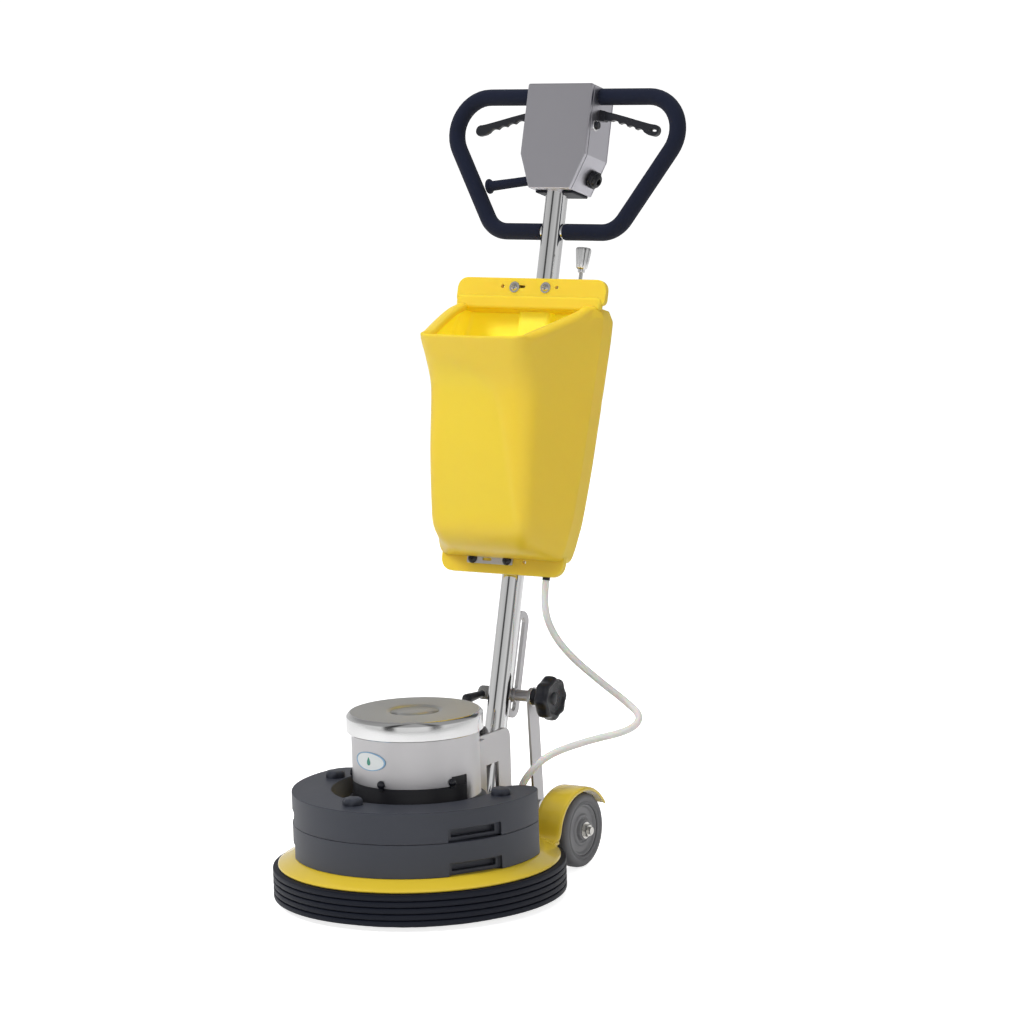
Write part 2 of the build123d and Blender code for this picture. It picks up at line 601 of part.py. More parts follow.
def valve_knob():
    body = revolved([(3, 712), (8.5, 712), (12.2, 742), (11, 745), (0, 745), (0, 716), (3, 716)])
    body += revolved([(3, 706), (5.5, 706), (5.5, 712), (3, 712)])
    for flute in range(10):
        angle = 2 * math.pi * flute / 10
        start = (10.6 * math.cos(angle), 10.6 * math.sin(angle), 711)
        end = (14.4 * math.cos(angle), 14.4 * math.sin(angle), 746)
        body -= rod_between(start, end, 1.9, 2.4)
    return on_mast(Pos(VALVE_X, VALVE_N, 0) * body)


# ---------------------------------------------------------------- hose

def hose_route():
    """The points of the hose's route, from the tank's spigot to the deck's inlet."""
    start = mast_point(VALVE_X, VALVE_N, SPIGOT_S)
    below = mast_point(VALVE_X, VALVE_N, SPIGOT_S - 38)
    return [start, below,
            Vector(80, 268, 362), Vector(98, 290, 322), Vector(124, 336, 275), Vector(150, 373, 237),
            Vector(186.6, 355.7, 220), Vector(189, 314, 206.5), Vector(141, 266, 196.6),
            Vector(106, 207, 184), Vector(85, 187, 160), Vector(INLET_X, INLET_Y, 130),
            Vector(INLET_X, INLET_Y, INLET_TOP)]


def corner_radii(points):
    radii = []
    for before, here, after in zip(points, points[1:], points[2:]):
        turn = (here - before).get_angle(after - here)
        shorter = min((here - before).length, (after - here).length)
        radii.append(0.45 * shorter / math.tan(math.radians(turn / 2)))
    return radii


def hose():
    points = hose_route()
    radii = corner_radii(points)
    path = FilletPolyline(*points, radius=radii)
    section = Plane(origin=path @ 0, z_dir=path % 0) * Circle(HOSE_R)
    tube = sweep(section, path=path)
    print("hose radii", [round(radius) for radius in radii])
    print("hose length", round(path.length), "volume ratio",
          round(tube.volume / (math.pi * HOSE_R ** 2 * path.length), 4))
    return tube


# ---------------------------------------------------------------- handle loop

def loop_half_path():
    """The right half of the loop, from the top bar round to the mast."""
    points = [Vector(0, LOOP_N, LOOP_TOP), Vector(LOOP_SHOULDER, LOOP_N, LOOP_TOP),
              Vector(LOOP_FOOT, LOOP_N, LOOP_BOTTOM), Vector(0, LOOP_N, LOOP_BOTTOM)]
    return FilletPolyline(*points, radius=[SHOULDER_BEND, FOOT_BEND])


def loop_sweep(radius):
    path = loop_half_path()
    half = sweep(Plane(origin=path @ 0, z_dir=path % 0) * Circle(radius), path=path)
    return half + mirrored(half)


def handle_tube():
    tube = loop_sweep(LOOP_R) - loop_sweep(LOOP_R - LOOP_WALL)
    return on_mast(tube - cyl(MAST_R, 700, MAST_S1))


def grip(side):
    sleeve = loop_sweep(GRIP_R) - loop_sweep(LOOP_R)
    sleeve &= block(0, 300, -60, 60, 700, 1050)
    sleeve -= block(-1, 64, -60, 60, 900, 1050)
    sleeve -= block(-1, 21, -60, 60, 700, 800)
    return on_mast(sleeve if side == "right" else mirrored(sleeve))


# ---------------------------------------------------------------- control box

def box_profile(inset):
    outline = Polygon(*BOX_OUTLINE, align=None)
    return outline if inset == 0 else offset(outline, -inset, kind=Kind.INTERSECTION)


def box_shell():
    body = plate_y(box_profile(0), BOX_N0, BOX_N1 - 2)
    body -= plate_y(box_profile(BOX_WALL), BOX_N0 + BOX_WALL, BOX_N1)
    body -= cyl(MAST_R + 0.3, 800, 860)
    body -= rod_x(LOOP_R + 0.2, -80, 80, LOOP_N, LOOP_TOP)
    for x0, x1 in ((50, 70), (-70, -50)):
        body -= block(x0, x1, LEVER_N - 5.5, LEVER_N + 5.5, LEVER_S - 12, LEVER_S + 12)
    body -= rod_x(BUTTON_R + 0.3, 50, 70, BUTTON_N, BUTTON_S)
    body -= gland_axis_rod(9, -6, 6)
    for x in (-LEVER_X, LEVER_X):
        body += rod_y(3, BOX_N0 + 1, 30, x, LEVER_S)
    return on_mast(body)


def box_cover():
    body = plate_y(box_profile(0), BOX_N1 - 2, BOX_N1)
    body += plate_y(box_profile(BOX_WALL + 0.2) - box_profile(BOX_WALL + 2), BOX_N1 - 8, BOX_N1 - 2)
    for x, s in ((-48, 996), (48, 996), (-32, 848), (32, 848)):
        body += rod_y(4, BOX_N1, BOX_N1 + 2.5, x, s)
    return on_mast(body)


def lever():
    """The right lever: a hooked blade with a ring at its end, pivoted inside the box."""
    outline = Pos(LEVER_X, LEVER_S) * Circle(8)
    outline += Polygon((LEVER_X, LEVER_S - 8), (84, 952), (120, 942), (150, 931), (156, 930),
                       (158, 944), (150, 943), (120, 954), (84, 966), (LEVER_X, LEVER_S + 8), align=None)
    outline += Pos(158, 937) * Circle(9)
    outline -= Pos(158, 937) * Circle(4)
    outline -= Pos(LEVER_X, LEVER_S) * Circle(3 + FIT)
    for x, s in ((96, 947.2), (110, 943), (124, 938.8), (138, 933.8)):
        outline -= Pos(x, s) * Circle(4)
    return plate_y(outline, LEVER_N - LEVER_WIDE / 2, LEVER_N + LEVER_WIDE / 2)


def switch_block():
    body = block(-24, 24, -22, -4, 900, 945)
    return on_mast(body + block(-36, -24, 4, 14, 930, 946) + block(24, 36, 4, 14, 930, 946)
                   + block(-36, 36, -6, 6, 930, 936) - cyl(MAST_R + 0.5, 800, 1000))


def button_bezel():
    return on_mast(rod_x(9, 58.75, 62, BUTTON_N, BUTTON_S) - rod_x(BUTTON_R + 0.3, 50, 70, BUTTON_N, BUTTON_S))


def safety_button():
    return on_mast(rod_x(BUTTON_R, 50, 66.5, BUTTON_N, BUTTON_S) + rod_x(7.5, 50, 54, BUTTON_N, BUTTON_S))


def gland_axis_rod(radius, start, end):
    """A cylinder about the gland's axis, which is square to the box's tapered side."""
    taper = Vector(58.9 - 37, 0, 893 - 838).normalized()
    outward = Vector(taper.Z, 0, -taper.X)
    centre = Vector(GLAND_X, GLAND_N, GLAND_S)
    return rod_between(centre + outward * start, centre + outward * end, radius, radius)


def cable_gland():
    body = gland_axis_rod(9, -5, 3) + gland_axis_rod(12.5, 0.1, 5) + gland_axis_rod(9.5, 5, 14)
    return on_mast(body - gland_axis_rod(GLAND_BORE, 2, 15))


def cord_hook():
    start, end = (-45.5, HOOK_N, 857.5), (-126, HOOK_N, 847)
    body = rod_between(start, end, HOOK_R, HOOK_R)
    body += rod_between(end, (-131, HOOK_N, 846.3), 12, 12)
    return on_mast(body - plate_y(box_profile(0), BOX_N0, BOX_N1))


# ---------------------------------------------------------------- output

save("base_deck", base_deck())
save("bumper", bumper())
save("weight_lower", weight(DECK_TOP, WEIGHT_SPLIT))
save("weight_upper", weight(WEIGHT_SPLIT, WEIGHT_TOP))
save("weight_knobs", weight_knobs())
save("gearbox_housing", gearbox_housing())
save("ring_gear", ring_gear())
save("motor_cover", motor_cover())
save("cover_screws", cover_screws())
save("motor_cap", motor_cap())
save("badge", badge())
save("stator", stator())
save("rear_cover", rear_cover())
save("capacitor", capacitor())
save("yoke", yoke())
save("pivot_bolt", pivot_bolt())
save("axle", axle())
save("axle_nuts", axle_nuts())
save("hose_inlet", hose_inlet())
save("strut_pin", strut_pin())

save("rotor_core", ring(SHAFT_R, ROTOR_R, STATOR_Z0 + 3, STATOR_Z1 - 3))
save("rotor_shaft", rotor_shaft())
save("planet_carrier", planet_carrier())
save("pad_driver", cyl(DRIVER_R, PAD_TOP, DRIVER_TOP))
save("scrub_pad", cyl(PAD_R, 0, PAD_TOP))
for number, (radius, deg) in enumerate(planet_places(), start=1):
    save(f"planet_gear_{number}", planet_gear(radius, deg))

for side, place in (("right", lambda shape: shape), ("left", mirrored)):
    save(f"wheel_tyre_{side}", place(wheel_tyre()))
    save(f"wheel_hub_{side}", place(wheel_hub()))
    save(f"strut_{side}", place(strut()))
    save(f"lever_{side}", on_mast(place(lever())))
    save(f"grip_{side}", grip(side))

save("clamp_bolt", clamp_bolt())
save("star_knob", star_knob())
save("cam_lever", cam_lever())
save("mast_tube", mast_tube())
save("slotted_link", slotted_link())
save("upper_bracket", upper_bracket())
save("lower_bracket", lower_bracket())
save("tank", tank())
save("tank_screws", tank_screws())
save("clip_plate", clip_plate())
save("tank_spigot", tank_spigot())
save("valve_rod", valve_rod())
save("valve_knob", valve_knob())
save("hose", hose())
save("handle_tube", handle_tube())
save("box_shell", box_shell())
save("box_cover", box_cover())
save("switch_block", switch_block())
save("button_bezel", button_bezel())
save("safety_button", safety_button())
save("cable_gland", cable_gland())
save("cord_hook", cord_hook())
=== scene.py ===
import bpy
import bmesh
import functools
import json
import math
from mathutils import Matrix, Vector, noise


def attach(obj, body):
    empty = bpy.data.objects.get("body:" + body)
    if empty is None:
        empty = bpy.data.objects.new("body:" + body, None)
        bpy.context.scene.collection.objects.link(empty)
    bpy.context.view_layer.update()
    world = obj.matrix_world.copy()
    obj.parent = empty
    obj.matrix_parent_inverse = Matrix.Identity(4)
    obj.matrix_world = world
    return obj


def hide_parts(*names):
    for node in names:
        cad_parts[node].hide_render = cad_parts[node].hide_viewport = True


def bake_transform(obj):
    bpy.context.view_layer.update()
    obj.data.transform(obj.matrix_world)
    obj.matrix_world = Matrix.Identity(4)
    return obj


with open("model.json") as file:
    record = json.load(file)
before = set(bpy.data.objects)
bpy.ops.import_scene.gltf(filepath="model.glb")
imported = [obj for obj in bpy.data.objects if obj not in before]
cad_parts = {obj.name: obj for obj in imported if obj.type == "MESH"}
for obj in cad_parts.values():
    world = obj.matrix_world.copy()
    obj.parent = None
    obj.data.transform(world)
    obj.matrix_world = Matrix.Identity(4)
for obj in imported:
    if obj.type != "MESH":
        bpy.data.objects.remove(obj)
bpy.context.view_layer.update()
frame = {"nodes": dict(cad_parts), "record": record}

# Everything is in metres, in the machine's own frame: +X its right, -Y its front, +Z up.
# Shapes on the mast are drawn in its own directions: across, behind and along it.

JOINTS = {joint["name"]: joint for joint in frame["record"]["behaviour"]["joints"]}
MAST_ALONG = Vector(JOINTS["valve_lift"]["axis"])
MAST_BEHIND = Vector(JOINTS["trigger_left_squeeze"]["axis"])
PIVOT = Vector(JOINTS["mast_tilt"]["pos_m"])
MAST_ORIGIN = PIVOT + 0.1109 * MAST_ALONG
WHEEL_AXIS = Vector(JOINTS["wheel_right_spin"]["pos_m"])
BOLT = Vector(JOINTS["clamp_knob_turn"]["pos_m"])
BOLT.x = 0.0
MM = 0.001
TURN = 2 * math.pi

MAST = Matrix.Translation(MAST_ORIGIN) @ Matrix((
    (1, MAST_BEHIND.x, MAST_ALONG.x, 0),
    (0, MAST_BEHIND.y, MAST_ALONG.y, 0),
    (0, MAST_BEHIND.z, MAST_ALONG.z, 0),
    (0, 0, 0, 1)))
UPRIGHT = Matrix.Identity(4)


# ------------------------------------------------------------------ camera

def make_camera():
    """A long lens at chest height, in front of the machine and to its right."""
    bearing, dip, roll = math.radians(31.76), math.radians(8.48), math.radians(-1.77)
    ahead = Vector((-math.sin(bearing) * math.cos(dip), math.cos(bearing) * math.cos(dip), -math.sin(dip)))
    level = Vector((math.cos(bearing), math.sin(bearing), 0))
    above = level.cross(ahead)
    right = level * math.cos(roll) + above * math.sin(roll)
    up = above * math.cos(roll) - level * math.sin(roll)
    data = bpy.data.cameras.new("camera")
    data.lens = 132.19
    data.sensor_width = 36
    camera = bpy.data.objects.new("camera", data)
    bpy.context.scene.collection.objects.link(camera)
    axes = Matrix((right, up, -ahead)).transposed().to_4x4()
    camera.matrix_world = Matrix.Translation((3.0287, -4.5976, 1.3966)) @ axes
    bpy.context.scene.camera = camera


# ------------------------------------------------------------------ mesh tools

def new_piece(name, points, faces, sharp_deg=35):
    mesh = bpy.data.meshes.new(name)
    mesh.from_pydata([tuple(point) for point in points], [], faces)
    mesh.validate()
    mesh.shade_smooth()
    mesh.set_sharp_from_angle(angle=math.radians(sharp_deg))
    piece = bpy.data.objects.new(name, mesh)
    bpy.context.scene.collection.objects.link(piece)
    return piece


def settle(piece):
    """Apply the piece's modifiers, so that its mesh is final."""
    depsgraph = bpy.context.evaluated_depsgraph_get()
    mesh = bpy.data.meshes.new_from_object(piece.evaluated_get(depsgraph))
    piece.modifiers.clear()
    piece.data = mesh
    return piece


def ease_edges(piece, width, steps=3, angle_deg=35):
    """Round a piece's hard edges, then light its flat faces as flat."""
    bevel = piece.modifiers.new("eased edges", "BEVEL")
    bevel.width = width
    bevel.segments = steps
    bevel.limit_method = "ANGLE"
    bevel.angle_limit = math.radians(angle_deg)
    bevel.use_clamp_overlap = True
    settle(piece)
    piece.data.shade_smooth()
    piece.data.set_sharp_from_angle(angle=math.radians(50))
    weighted = piece.modifiers.new("flat faces stay flat", "WEIGHTED_NORMAL")
    weighted.keep_sharp = True
    return piece


def cut(piece, cutters):
    """Take the cutters' shapes out of a piece."""
    for cutter in cutters:
        boolean = piece.modifiers.new("cut", "BOOLEAN")
        boolean.operation = "DIFFERENCE"
        boolean.solver = "EXACT"
        boolean.object = cutter
    settle(piece)
    for cutter in cutters:
        bpy.data.objects.remove(cutter)
    return piece


def finish_piece(piece, look, body, *stands_for):
    """Give a piece its finish and its body, and hide the CAD nodes that it stands for."""
    piece.data.materials.clear()
    piece.data.materials.append(look)
    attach(piece, body)
    if stands_for:
        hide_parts(*stands_for)
    return piece


def grid_faces(rows, columns, wrap_rows=False, wrap_columns=True):
    faces = []
    for row in range(rows if wrap_rows else rows - 1):
        for column in range(columns if wrap_columns else columns - 1):
            here, across = row * columns + column, row * columns + (column + 1) % columns
            above = ((row + 1) % rows) * columns
            faces.append((here, across, above + (column + 1) % columns, above + column))
    return faces


def lathe(name, profile, place=UPRIGHT, steps=96, open_ends=False):
    """Turn a profile of (radius, height) points about the local Z axis."""
    points = [place @ Vector((radius * math.cos(TURN * step / steps),
                              radius * math.sin(TURN * step / steps), height))
              for radius, height in profile for step in range(steps)]
    faces = grid_faces(len(profile), steps)
    if not open_ends:
        faces.append(tuple(reversed(range(steps))))
        faces.append(tuple(range((len(profile) - 1) * steps, len(profile) * steps)))
    return new_piece(name, points, faces)


def turned_ring(name, profile, place=UPRIGHT, steps=128):
    """Turn a closed profile, clear of the axis, about the local Z axis."""
    points = [place @ Vector((radius * math.cos(TURN * step / steps),
                              radius * math.sin(TURN * step / steps), height))
              for radius, height in profile for step in range(steps)]
    return new_piece(name, points, grid_faces(len(profile), steps, wrap_rows=True))


def prism(name, outline, low, high, place=UPRIGHT):
    """Push an outline of (u, v) points along the local Z axis, from low to high."""
    count = len(outline)
    points = [place @ Vector((u, v, level)) for level in (low, high) for u, v in outline]
    faces = [tuple(reversed(range(count))), tuple(range(count, 2 * count))]
    faces += [(i, (i + 1) % count, count + (i + 1) % count, count + i) for i in range(count)]
    return new_piece(name, points, faces)


def arc(centre, radius, start_deg, end_deg, steps=8):
    """Points round an arc, both ends included."""
    angles = [math.radians(start_deg + (end_deg - start_deg) * step / steps) for step in range(steps + 1)]
    return [(centre[0] + radius * math.cos(angle), centre[1] + radius * math.sin(angle))
            for angle in angles]


def rounded(corners, steps=6, straight=0):
    """A closed outline from (u, v, radius) corners: an arc at each, and even points on each straight run."""
    arcs = []
    for index, (u, v, radius) in enumerate(corners):
        here = Vector((u, v))
        back = Vector(corners[index - 1][:2]) - here
        ahead = Vector(corners[(index + 1) % len(corners)][:2]) - here
        half = back.angle(ahead) / 2
        reach = min(radius / math.tan(half), 0.49 * back.length, 0.49 * ahead.length)
        start, end = here + reach * back.normalized(), here + reach * ahead.normalized()
        middle = here + (back.normalized() + ahead.normalized()).normalized() * (reach / math.cos(half))
        run = []
        for step in range(steps + 1):
            t = step / steps
            guide = (1 - t) ** 2 * start + 2 * t * (1 - t) * here + t * t * end
            run.append(middle + (guide - middle).normalized() * (reach * math.tan(half)))
        arcs.append(run)
    outline = []
    for index, run in enumerate(arcs):
        following = arcs[(index + 1) % len(arcs)][0]
        outline += run
        outline += [run[-1].lerp(following, part / (straight + 1)) for part in range(1, straight + 1)]
    return [tuple(point) for point in outline]


def bent_path(corners, steps=10):
    """Points along an open path of (point, bend radius) corners; its ends have no bend."""
    path = [corners[0][0]]
    for (before, _), (here, radius), (after, _) in zip(corners, corners[1:], corners[2:]):
        back, ahead = (before - here).normalized(), (after - here).normalized()
        half = back.angle(ahead) / 2
        reach = radius / math.tan(half)
        middle = here + (back + ahead).normalized() * (radius / math.sin(half))
        start, end = here + back * reach, here + ahead * reach
        for step in range(steps + 1):
            swing = (start - middle).normalized().slerp((end - middle).normalized(), step / steps)
            path.append(middle + radius * swing)
    path.append(corners[-1][0])
    return path


def divided(path, spacing):
    """The same path with points no further apart than the spacing."""
    fine = [path[0]]
    for start, end in zip(path, path[1:]):
        parts = max(1, math.ceil((end - start).length / spacing))
        fine += [start.lerp(end, part / parts) for part in range(1, parts + 1)]
    return fine


def tube(name, path, radii, sides=28):
    """A closed tube along a path; radii is one radius or one for each point."""
    if not hasattr(radii, "__len__"):
        radii = [radii] * len(path)
    ahead = [(path[min(i + 1, len(path) - 1)] - path[max(i - 1, 0)]).normalized() for i in range(len(path))]
    side = ahead[0].orthogonal().normalized()
    points = []
    for centre, direction, radius in zip(path, ahead, radii):
        side = (side - direction * side.dot(direction)).normalized()
        other = direction.cross(side)
        for step in range(sides):
            angle = TURN * step / sides
            points.append(centre + radius * (math.cos(angle) * side + math.sin(angle) * other))
    faces = grid_faces(len(path), sides)
    faces += [tuple(reversed(range(sides))), tuple(range((len(path) - 1) * sides, len(path) * sides))]
    return new_piece(name, points, faces)


def along_x(x=0.0, y=0.0, z=0.0, mirrored=False):
    """A placing whose local Z axis points along +X, or along -X when mirrored."""
    turn = Matrix.Rotation(math.radians(-90 if mirrored else 90), 4, "Y")
    return Matrix.Translation((x, y, z)) @ turn


def facing_front(place=MAST):
    """A placing whose local Z axis points to the front of the mast, with u across and v along it."""
    return place @ Matrix.Rotation(math.radians(90), 4, "X")


# ------------------------------------------------------------------ effects that several finishes share

def new_group(name, inputs, outputs):
    tree = bpy.data.node_groups.new(name, "ShaderNodeTree")
    for label, kind, value in inputs:
        socket = tree.interface.new_socket(name=label, in_out="INPUT", socket_type=kind)
        socket.default_value = value
    for label, kind in outputs:
        tree.interface.new_socket(name=label, in_out="OUTPUT", socket_type=kind)
    return tree, tree.nodes.new("NodeGroupInput"), tree.nodes.new("NodeGroupOutput")


def add_node(tree, kind, values=(), **settings):
    node = tree.nodes.new(kind)
    for setting, value in settings.items():
        setattr(node, setting, value)
    for socket, value in dict(values).items():
        node.inputs[socket].default_value = value
    return node


def remap(tree, source, low, high, from_low=0.0, from_high=1.0):
    node = add_node(tree, "ShaderNodeMapRange", {1: from_low, 2: from_high, 3: low, 4: high})
    tree.links.new(source, node.inputs[0])
    return node


def make_tone_drift():
    """Broad and fine drift in how light and how rough a surface is."""
    tree, given, result = new_group(
        "tone drift",
        [("Color", "NodeSocketColor", (0.5, 0.5, 0.5, 1)), ("Scale", "NodeSocketFloat", 12.0),
         ("Amount", "NodeSocketFloat", 0.1), ("Roughness", "NodeSocketFloat", 0.4),
         ("Roughness Amount", "NodeSocketFloat", 0.1)],
        [("Color", "NodeSocketColor"), ("Roughness", "NodeSocketFloat")])
    links = tree.links
    place = add_node(tree, "ShaderNodeTexCoord")
    broad = add_node(tree, "ShaderNodeTexNoise", {"Detail": 5.0, "Roughness": 0.62})
    links.new(place.outputs["Object"], broad.inputs["Vector"])
    links.new(given.outputs["Scale"], broad.inputs["Scale"])
    centred = add_node(tree, "ShaderNodeMath", {1: 0.5}, operation="SUBTRACT")
    links.new(broad.outputs["Fac"], centred.inputs[0])
    tone = add_node(tree, "ShaderNodeMath", {2: 1.0}, operation="MULTIPLY_ADD")
    links.new(centred.outputs[0], tone.inputs[0])
    links.new(given.outputs["Amount"], tone.inputs[1])
    shade = add_node(tree, "ShaderNodeHueSaturation")
    links.new(given.outputs["Color"], shade.inputs["Color"])
    links.new(tone.outputs[0], shade.inputs["Value"])
    links.new(shade.outputs["Color"], result.inputs["Color"])
    rough = add_node(tree, "ShaderNodeMath", operation="MULTIPLY_ADD", use_clamp=True)
    links.new(centred.outputs[0], rough.inputs[0])
    links.new(given.outputs["Roughness Amount"], rough.inputs[1])
    links.new(given.outputs["Roughness"], rough.inputs[2])
    links.new(rough.outputs[0], result.inputs["Roughness"])
    return tree


def make_edge_wear():
    """A lighter, rubbed line along outer edges, broken up by noise."""
    tree, given, result = new_group(
        "edge wear",
        [("Color", "NodeSocketColor", (0.5, 0.5, 0.5, 1)),
         ("Worn Color", "NodeSocketColor", (0.8, 0.8, 0.8, 1)),
         ("Width", "NodeSocketFloat", 0.0015), ("Amount", "NodeSocketFloat", 0.5)],
        [("Color", "NodeSocketColor"), ("Worn", "NodeSocketFloat")])
    links = tree.links
    soft = add_node(tree, "ShaderNodeBevel", samples=4)
    links.new(given.outputs["Width"], soft.inputs["Radius"])
    hard = add_node(tree, "ShaderNodeNewGeometry")
    match = add_node(tree, "ShaderNodeVectorMath", operation="DOT_PRODUCT")
    links.new(soft.outputs["Normal"], match.inputs[0])
    links.new(hard.outputs["Normal"], match.inputs[1])
    edge = remap(tree, match.outputs["Value"], 1.0, 0.0, 0.72, 0.985)
    place = add_node(tree, "ShaderNodeTexCoord")
    breaks = add_node(tree, "ShaderNodeTexNoise", {"Scale": 70.0, "Detail": 4.0})
    links.new(place.outputs["Object"], breaks.inputs["Vector"])
    patchy = remap(tree, breaks.outputs["Fac"], 0.0, 1.0, 0.42, 0.62)
    both = add_node(tree, "ShaderNodeMath", operation="MULTIPLY")
    links.new(edge.outputs[0], both.inputs[0])
    links.new(patchy.outputs[0], both.inputs[1])
    worn = add_node(tree, "ShaderNodeMath", operation="MULTIPLY", use_clamp=True)
    links.new(both.outputs[0], worn.inputs[0])
    links.new(given.outputs["Amount"], worn.inputs[1])
    mix = add_node(tree, "ShaderNodeMix", data_type="RGBA")
    links.new(worn.outputs[0], mix.inputs["Factor"])
    links.new(given.outputs["Color"], mix.inputs[6])
    links.new(given.outputs["Worn Color"], mix.inputs[7])
    links.new(mix.outputs[2], result.inputs["Color"])
    links.new(worn.outputs[0], result.inputs["Worn"])
    return tree


def make_fine_grain():
    """The height of an orange-peel or pebbled skin."""
    tree, given, result = new_group(
        "fine grain",
        [("Scale", "NodeSocketFloat", 900.0), ("Pebble", "NodeSocketFloat", 0.3)],
        [("Height", "NodeSocketFloat")])
    links = tree.links
    place = add_node(tree, "ShaderNodeTexCoord")
    peel = add_node(tree, "ShaderNodeTexNoise", {"Detail": 3.0, "Roughness": 0.55})
    pebble = add_node(tree, "ShaderNodeTexVoronoi", feature="SMOOTH_F1")
    for texture in (peel, pebble):
        links.new(place.outputs["Object"], texture.inputs["Vector"])
        links.new(given.outputs["Scale"], texture.inputs["Scale"])
    mix = add_node(tree, "ShaderNodeMix", data_type="FLOAT")
    links.new(given.outputs["Pebble"], mix.inputs["Factor"])
    links.new(peel.outputs["Fac"], mix.inputs[2])
    links.new(pebble.outputs["Distance"], mix.inputs[3])
    links.new(mix.outputs[0], result.inputs["Height"])
    return tree


def make_brushed_lines():
    """Long fine lines, as left by a belt, running square to the stretched direction."""
    tree, given, result = new_group(
        "brushed lines",
        [("Stretch", "NodeSocketVector", (6.0, 6.0, 900.0)), ("Roughness", "NodeSocketFloat", 0.35),
         ("Amount", "NodeSocketFloat", 0.12)],
        [("Height", "NodeSocketFloat"), ("Roughness", "NodeSocketFloat")])
    links = tree.links
    place = add_node(tree, "ShaderNodeTexCoord")
    stretch = add_node(tree, "ShaderNodeVectorMath", operation="MULTIPLY")
    links.new(place.outputs["Object"], stretch.inputs[0])
    links.new(given.outputs["Stretch"], stretch.inputs[1])
    lines = add_node(tree, "ShaderNodeTexNoise", {"Scale": 1.0, "Detail": 6.0, "Roughness": 0.7})
    links.new(stretch.outputs[0], lines.inputs["Vector"])
    links.new(lines.outputs["Fac"], result.inputs["Height"])
    rough = add_node(tree, "ShaderNodeMath", operation="MULTIPLY_ADD", use_clamp=True)
    centred = add_node(tree, "ShaderNodeMath", {1: 0.5}, operation="SUBTRACT")
    links.new(lines.outputs["Fac"], centred.inputs[0])
    links.new(centred.outputs[0], rough.inputs[0])
    links.new(given.outputs["Amount"], rough.inputs[1])
    links.new(given.outputs["Roughness"], rough.inputs[2])
    links.new(rough.outputs[0], result.inputs["Roughness"])
    return tree


TONE_DRIFT, EDGE_WEAR = make_tone_drift(), make_edge_wear()
FINE_GRAIN, BRUSHED_LINES = make_fine_grain(), make_brushed_lines()


def place_group(tree, group, **values):
    node = tree.nodes.new("ShaderNodeGroup")
    node.node_tree = group
    for label, value in values.items():
        node.inputs[label.replace("_", " ")].default_value = value
    return node


def new_look(name, shader_values):
    look = bpy.data.materials.new(name)
    look.use_nodes = True
    shader = look.node_tree.nodes["Principled BSDF"]
    for socket, value in shader_values.items():
        shader.inputs[socket].default_value = value
    return look, look.node_tree, shader


def bump_from(tree, shader, height, depth, strength, edge_radius):
    """Feed a height to the shader's normal, over edges eased by a small radius."""
    bump = add_node(tree, "ShaderNodeBump", {"Strength": strength, "Distance": depth})
    tree.links.new(height, bump.inputs["Height"])
    if edge_radius:
        eased = add_node(tree, "ShaderNodeBevel", {"Radius": edge_radius}, samples=4)
        tree.links.new(eased.outputs["Normal"], bump.inputs["Normal"])
    tree.links.new(bump.outputs["Normal"], shader.inputs["Normal"])


def coated(name, color, roughness, drift=0.1, drift_scale=9.0, rough_drift=0.12, grain=700.0, pebble=0.2,
           depth=0.00008,
           strength=0.35, worn=None, wear=0.5, edge=0.0008, **shader_values):
    """Paint, plastic or rubber: a drifting colour with a fine skin and rubbed edges."""
    look, tree, shader = new_look(name, shader_values)
    drifting = place_group(tree, TONE_DRIFT, Color=(*color, 1), Scale=drift_scale, Amount=drift,
                           Roughness=roughness, Roughness_Amount=rough_drift)
    rubbed = place_group(tree, EDGE_WEAR, Worn_Color=(*(worn or color), 1), Width=0.0012, Amount=wear)
    tree.links.new(drifting.outputs["Color"], rubbed.inputs["Color"])
    tree.links.new(rubbed.outputs["Color"], shader.inputs["Base Color"])
    tree.links.new(drifting.outputs["Roughness"], shader.inputs["Roughness"])
    skin = place_group(tree, FINE_GRAIN, Scale=grain, Pebble=pebble)
    bump_from(tree, shader, skin.outputs["Height"], depth, strength, edge)
    return look


def bare_metal(name, color, roughness, stretch=(6.0, 6.0, 900.0), amount=0.12, drift=0.06, depth=0.00002,
               strength=0.25,
               edge=0.0006, **shader_values):
    """Bare or plated metal: fine lines in its roughness and height."""
    look, tree, shader = new_look(name, {"Metallic": 1.0, **shader_values})
    drifting = place_group(tree, TONE_DRIFT, Color=(*color, 1), Scale=7.0, Amount=drift)
    tree.links.new(drifting.outputs["Color"], shader.inputs["Base Color"])
    lines = place_group(tree, BRUSHED_LINES, Stretch=stretch, Roughness=roughness, Amount=amount)
    tree.links.new(lines.outputs["Roughness"], shader.inputs["Roughness"])
    bump_from(tree, shader, lines.outputs["Height"], depth, strength, edge)
    return look


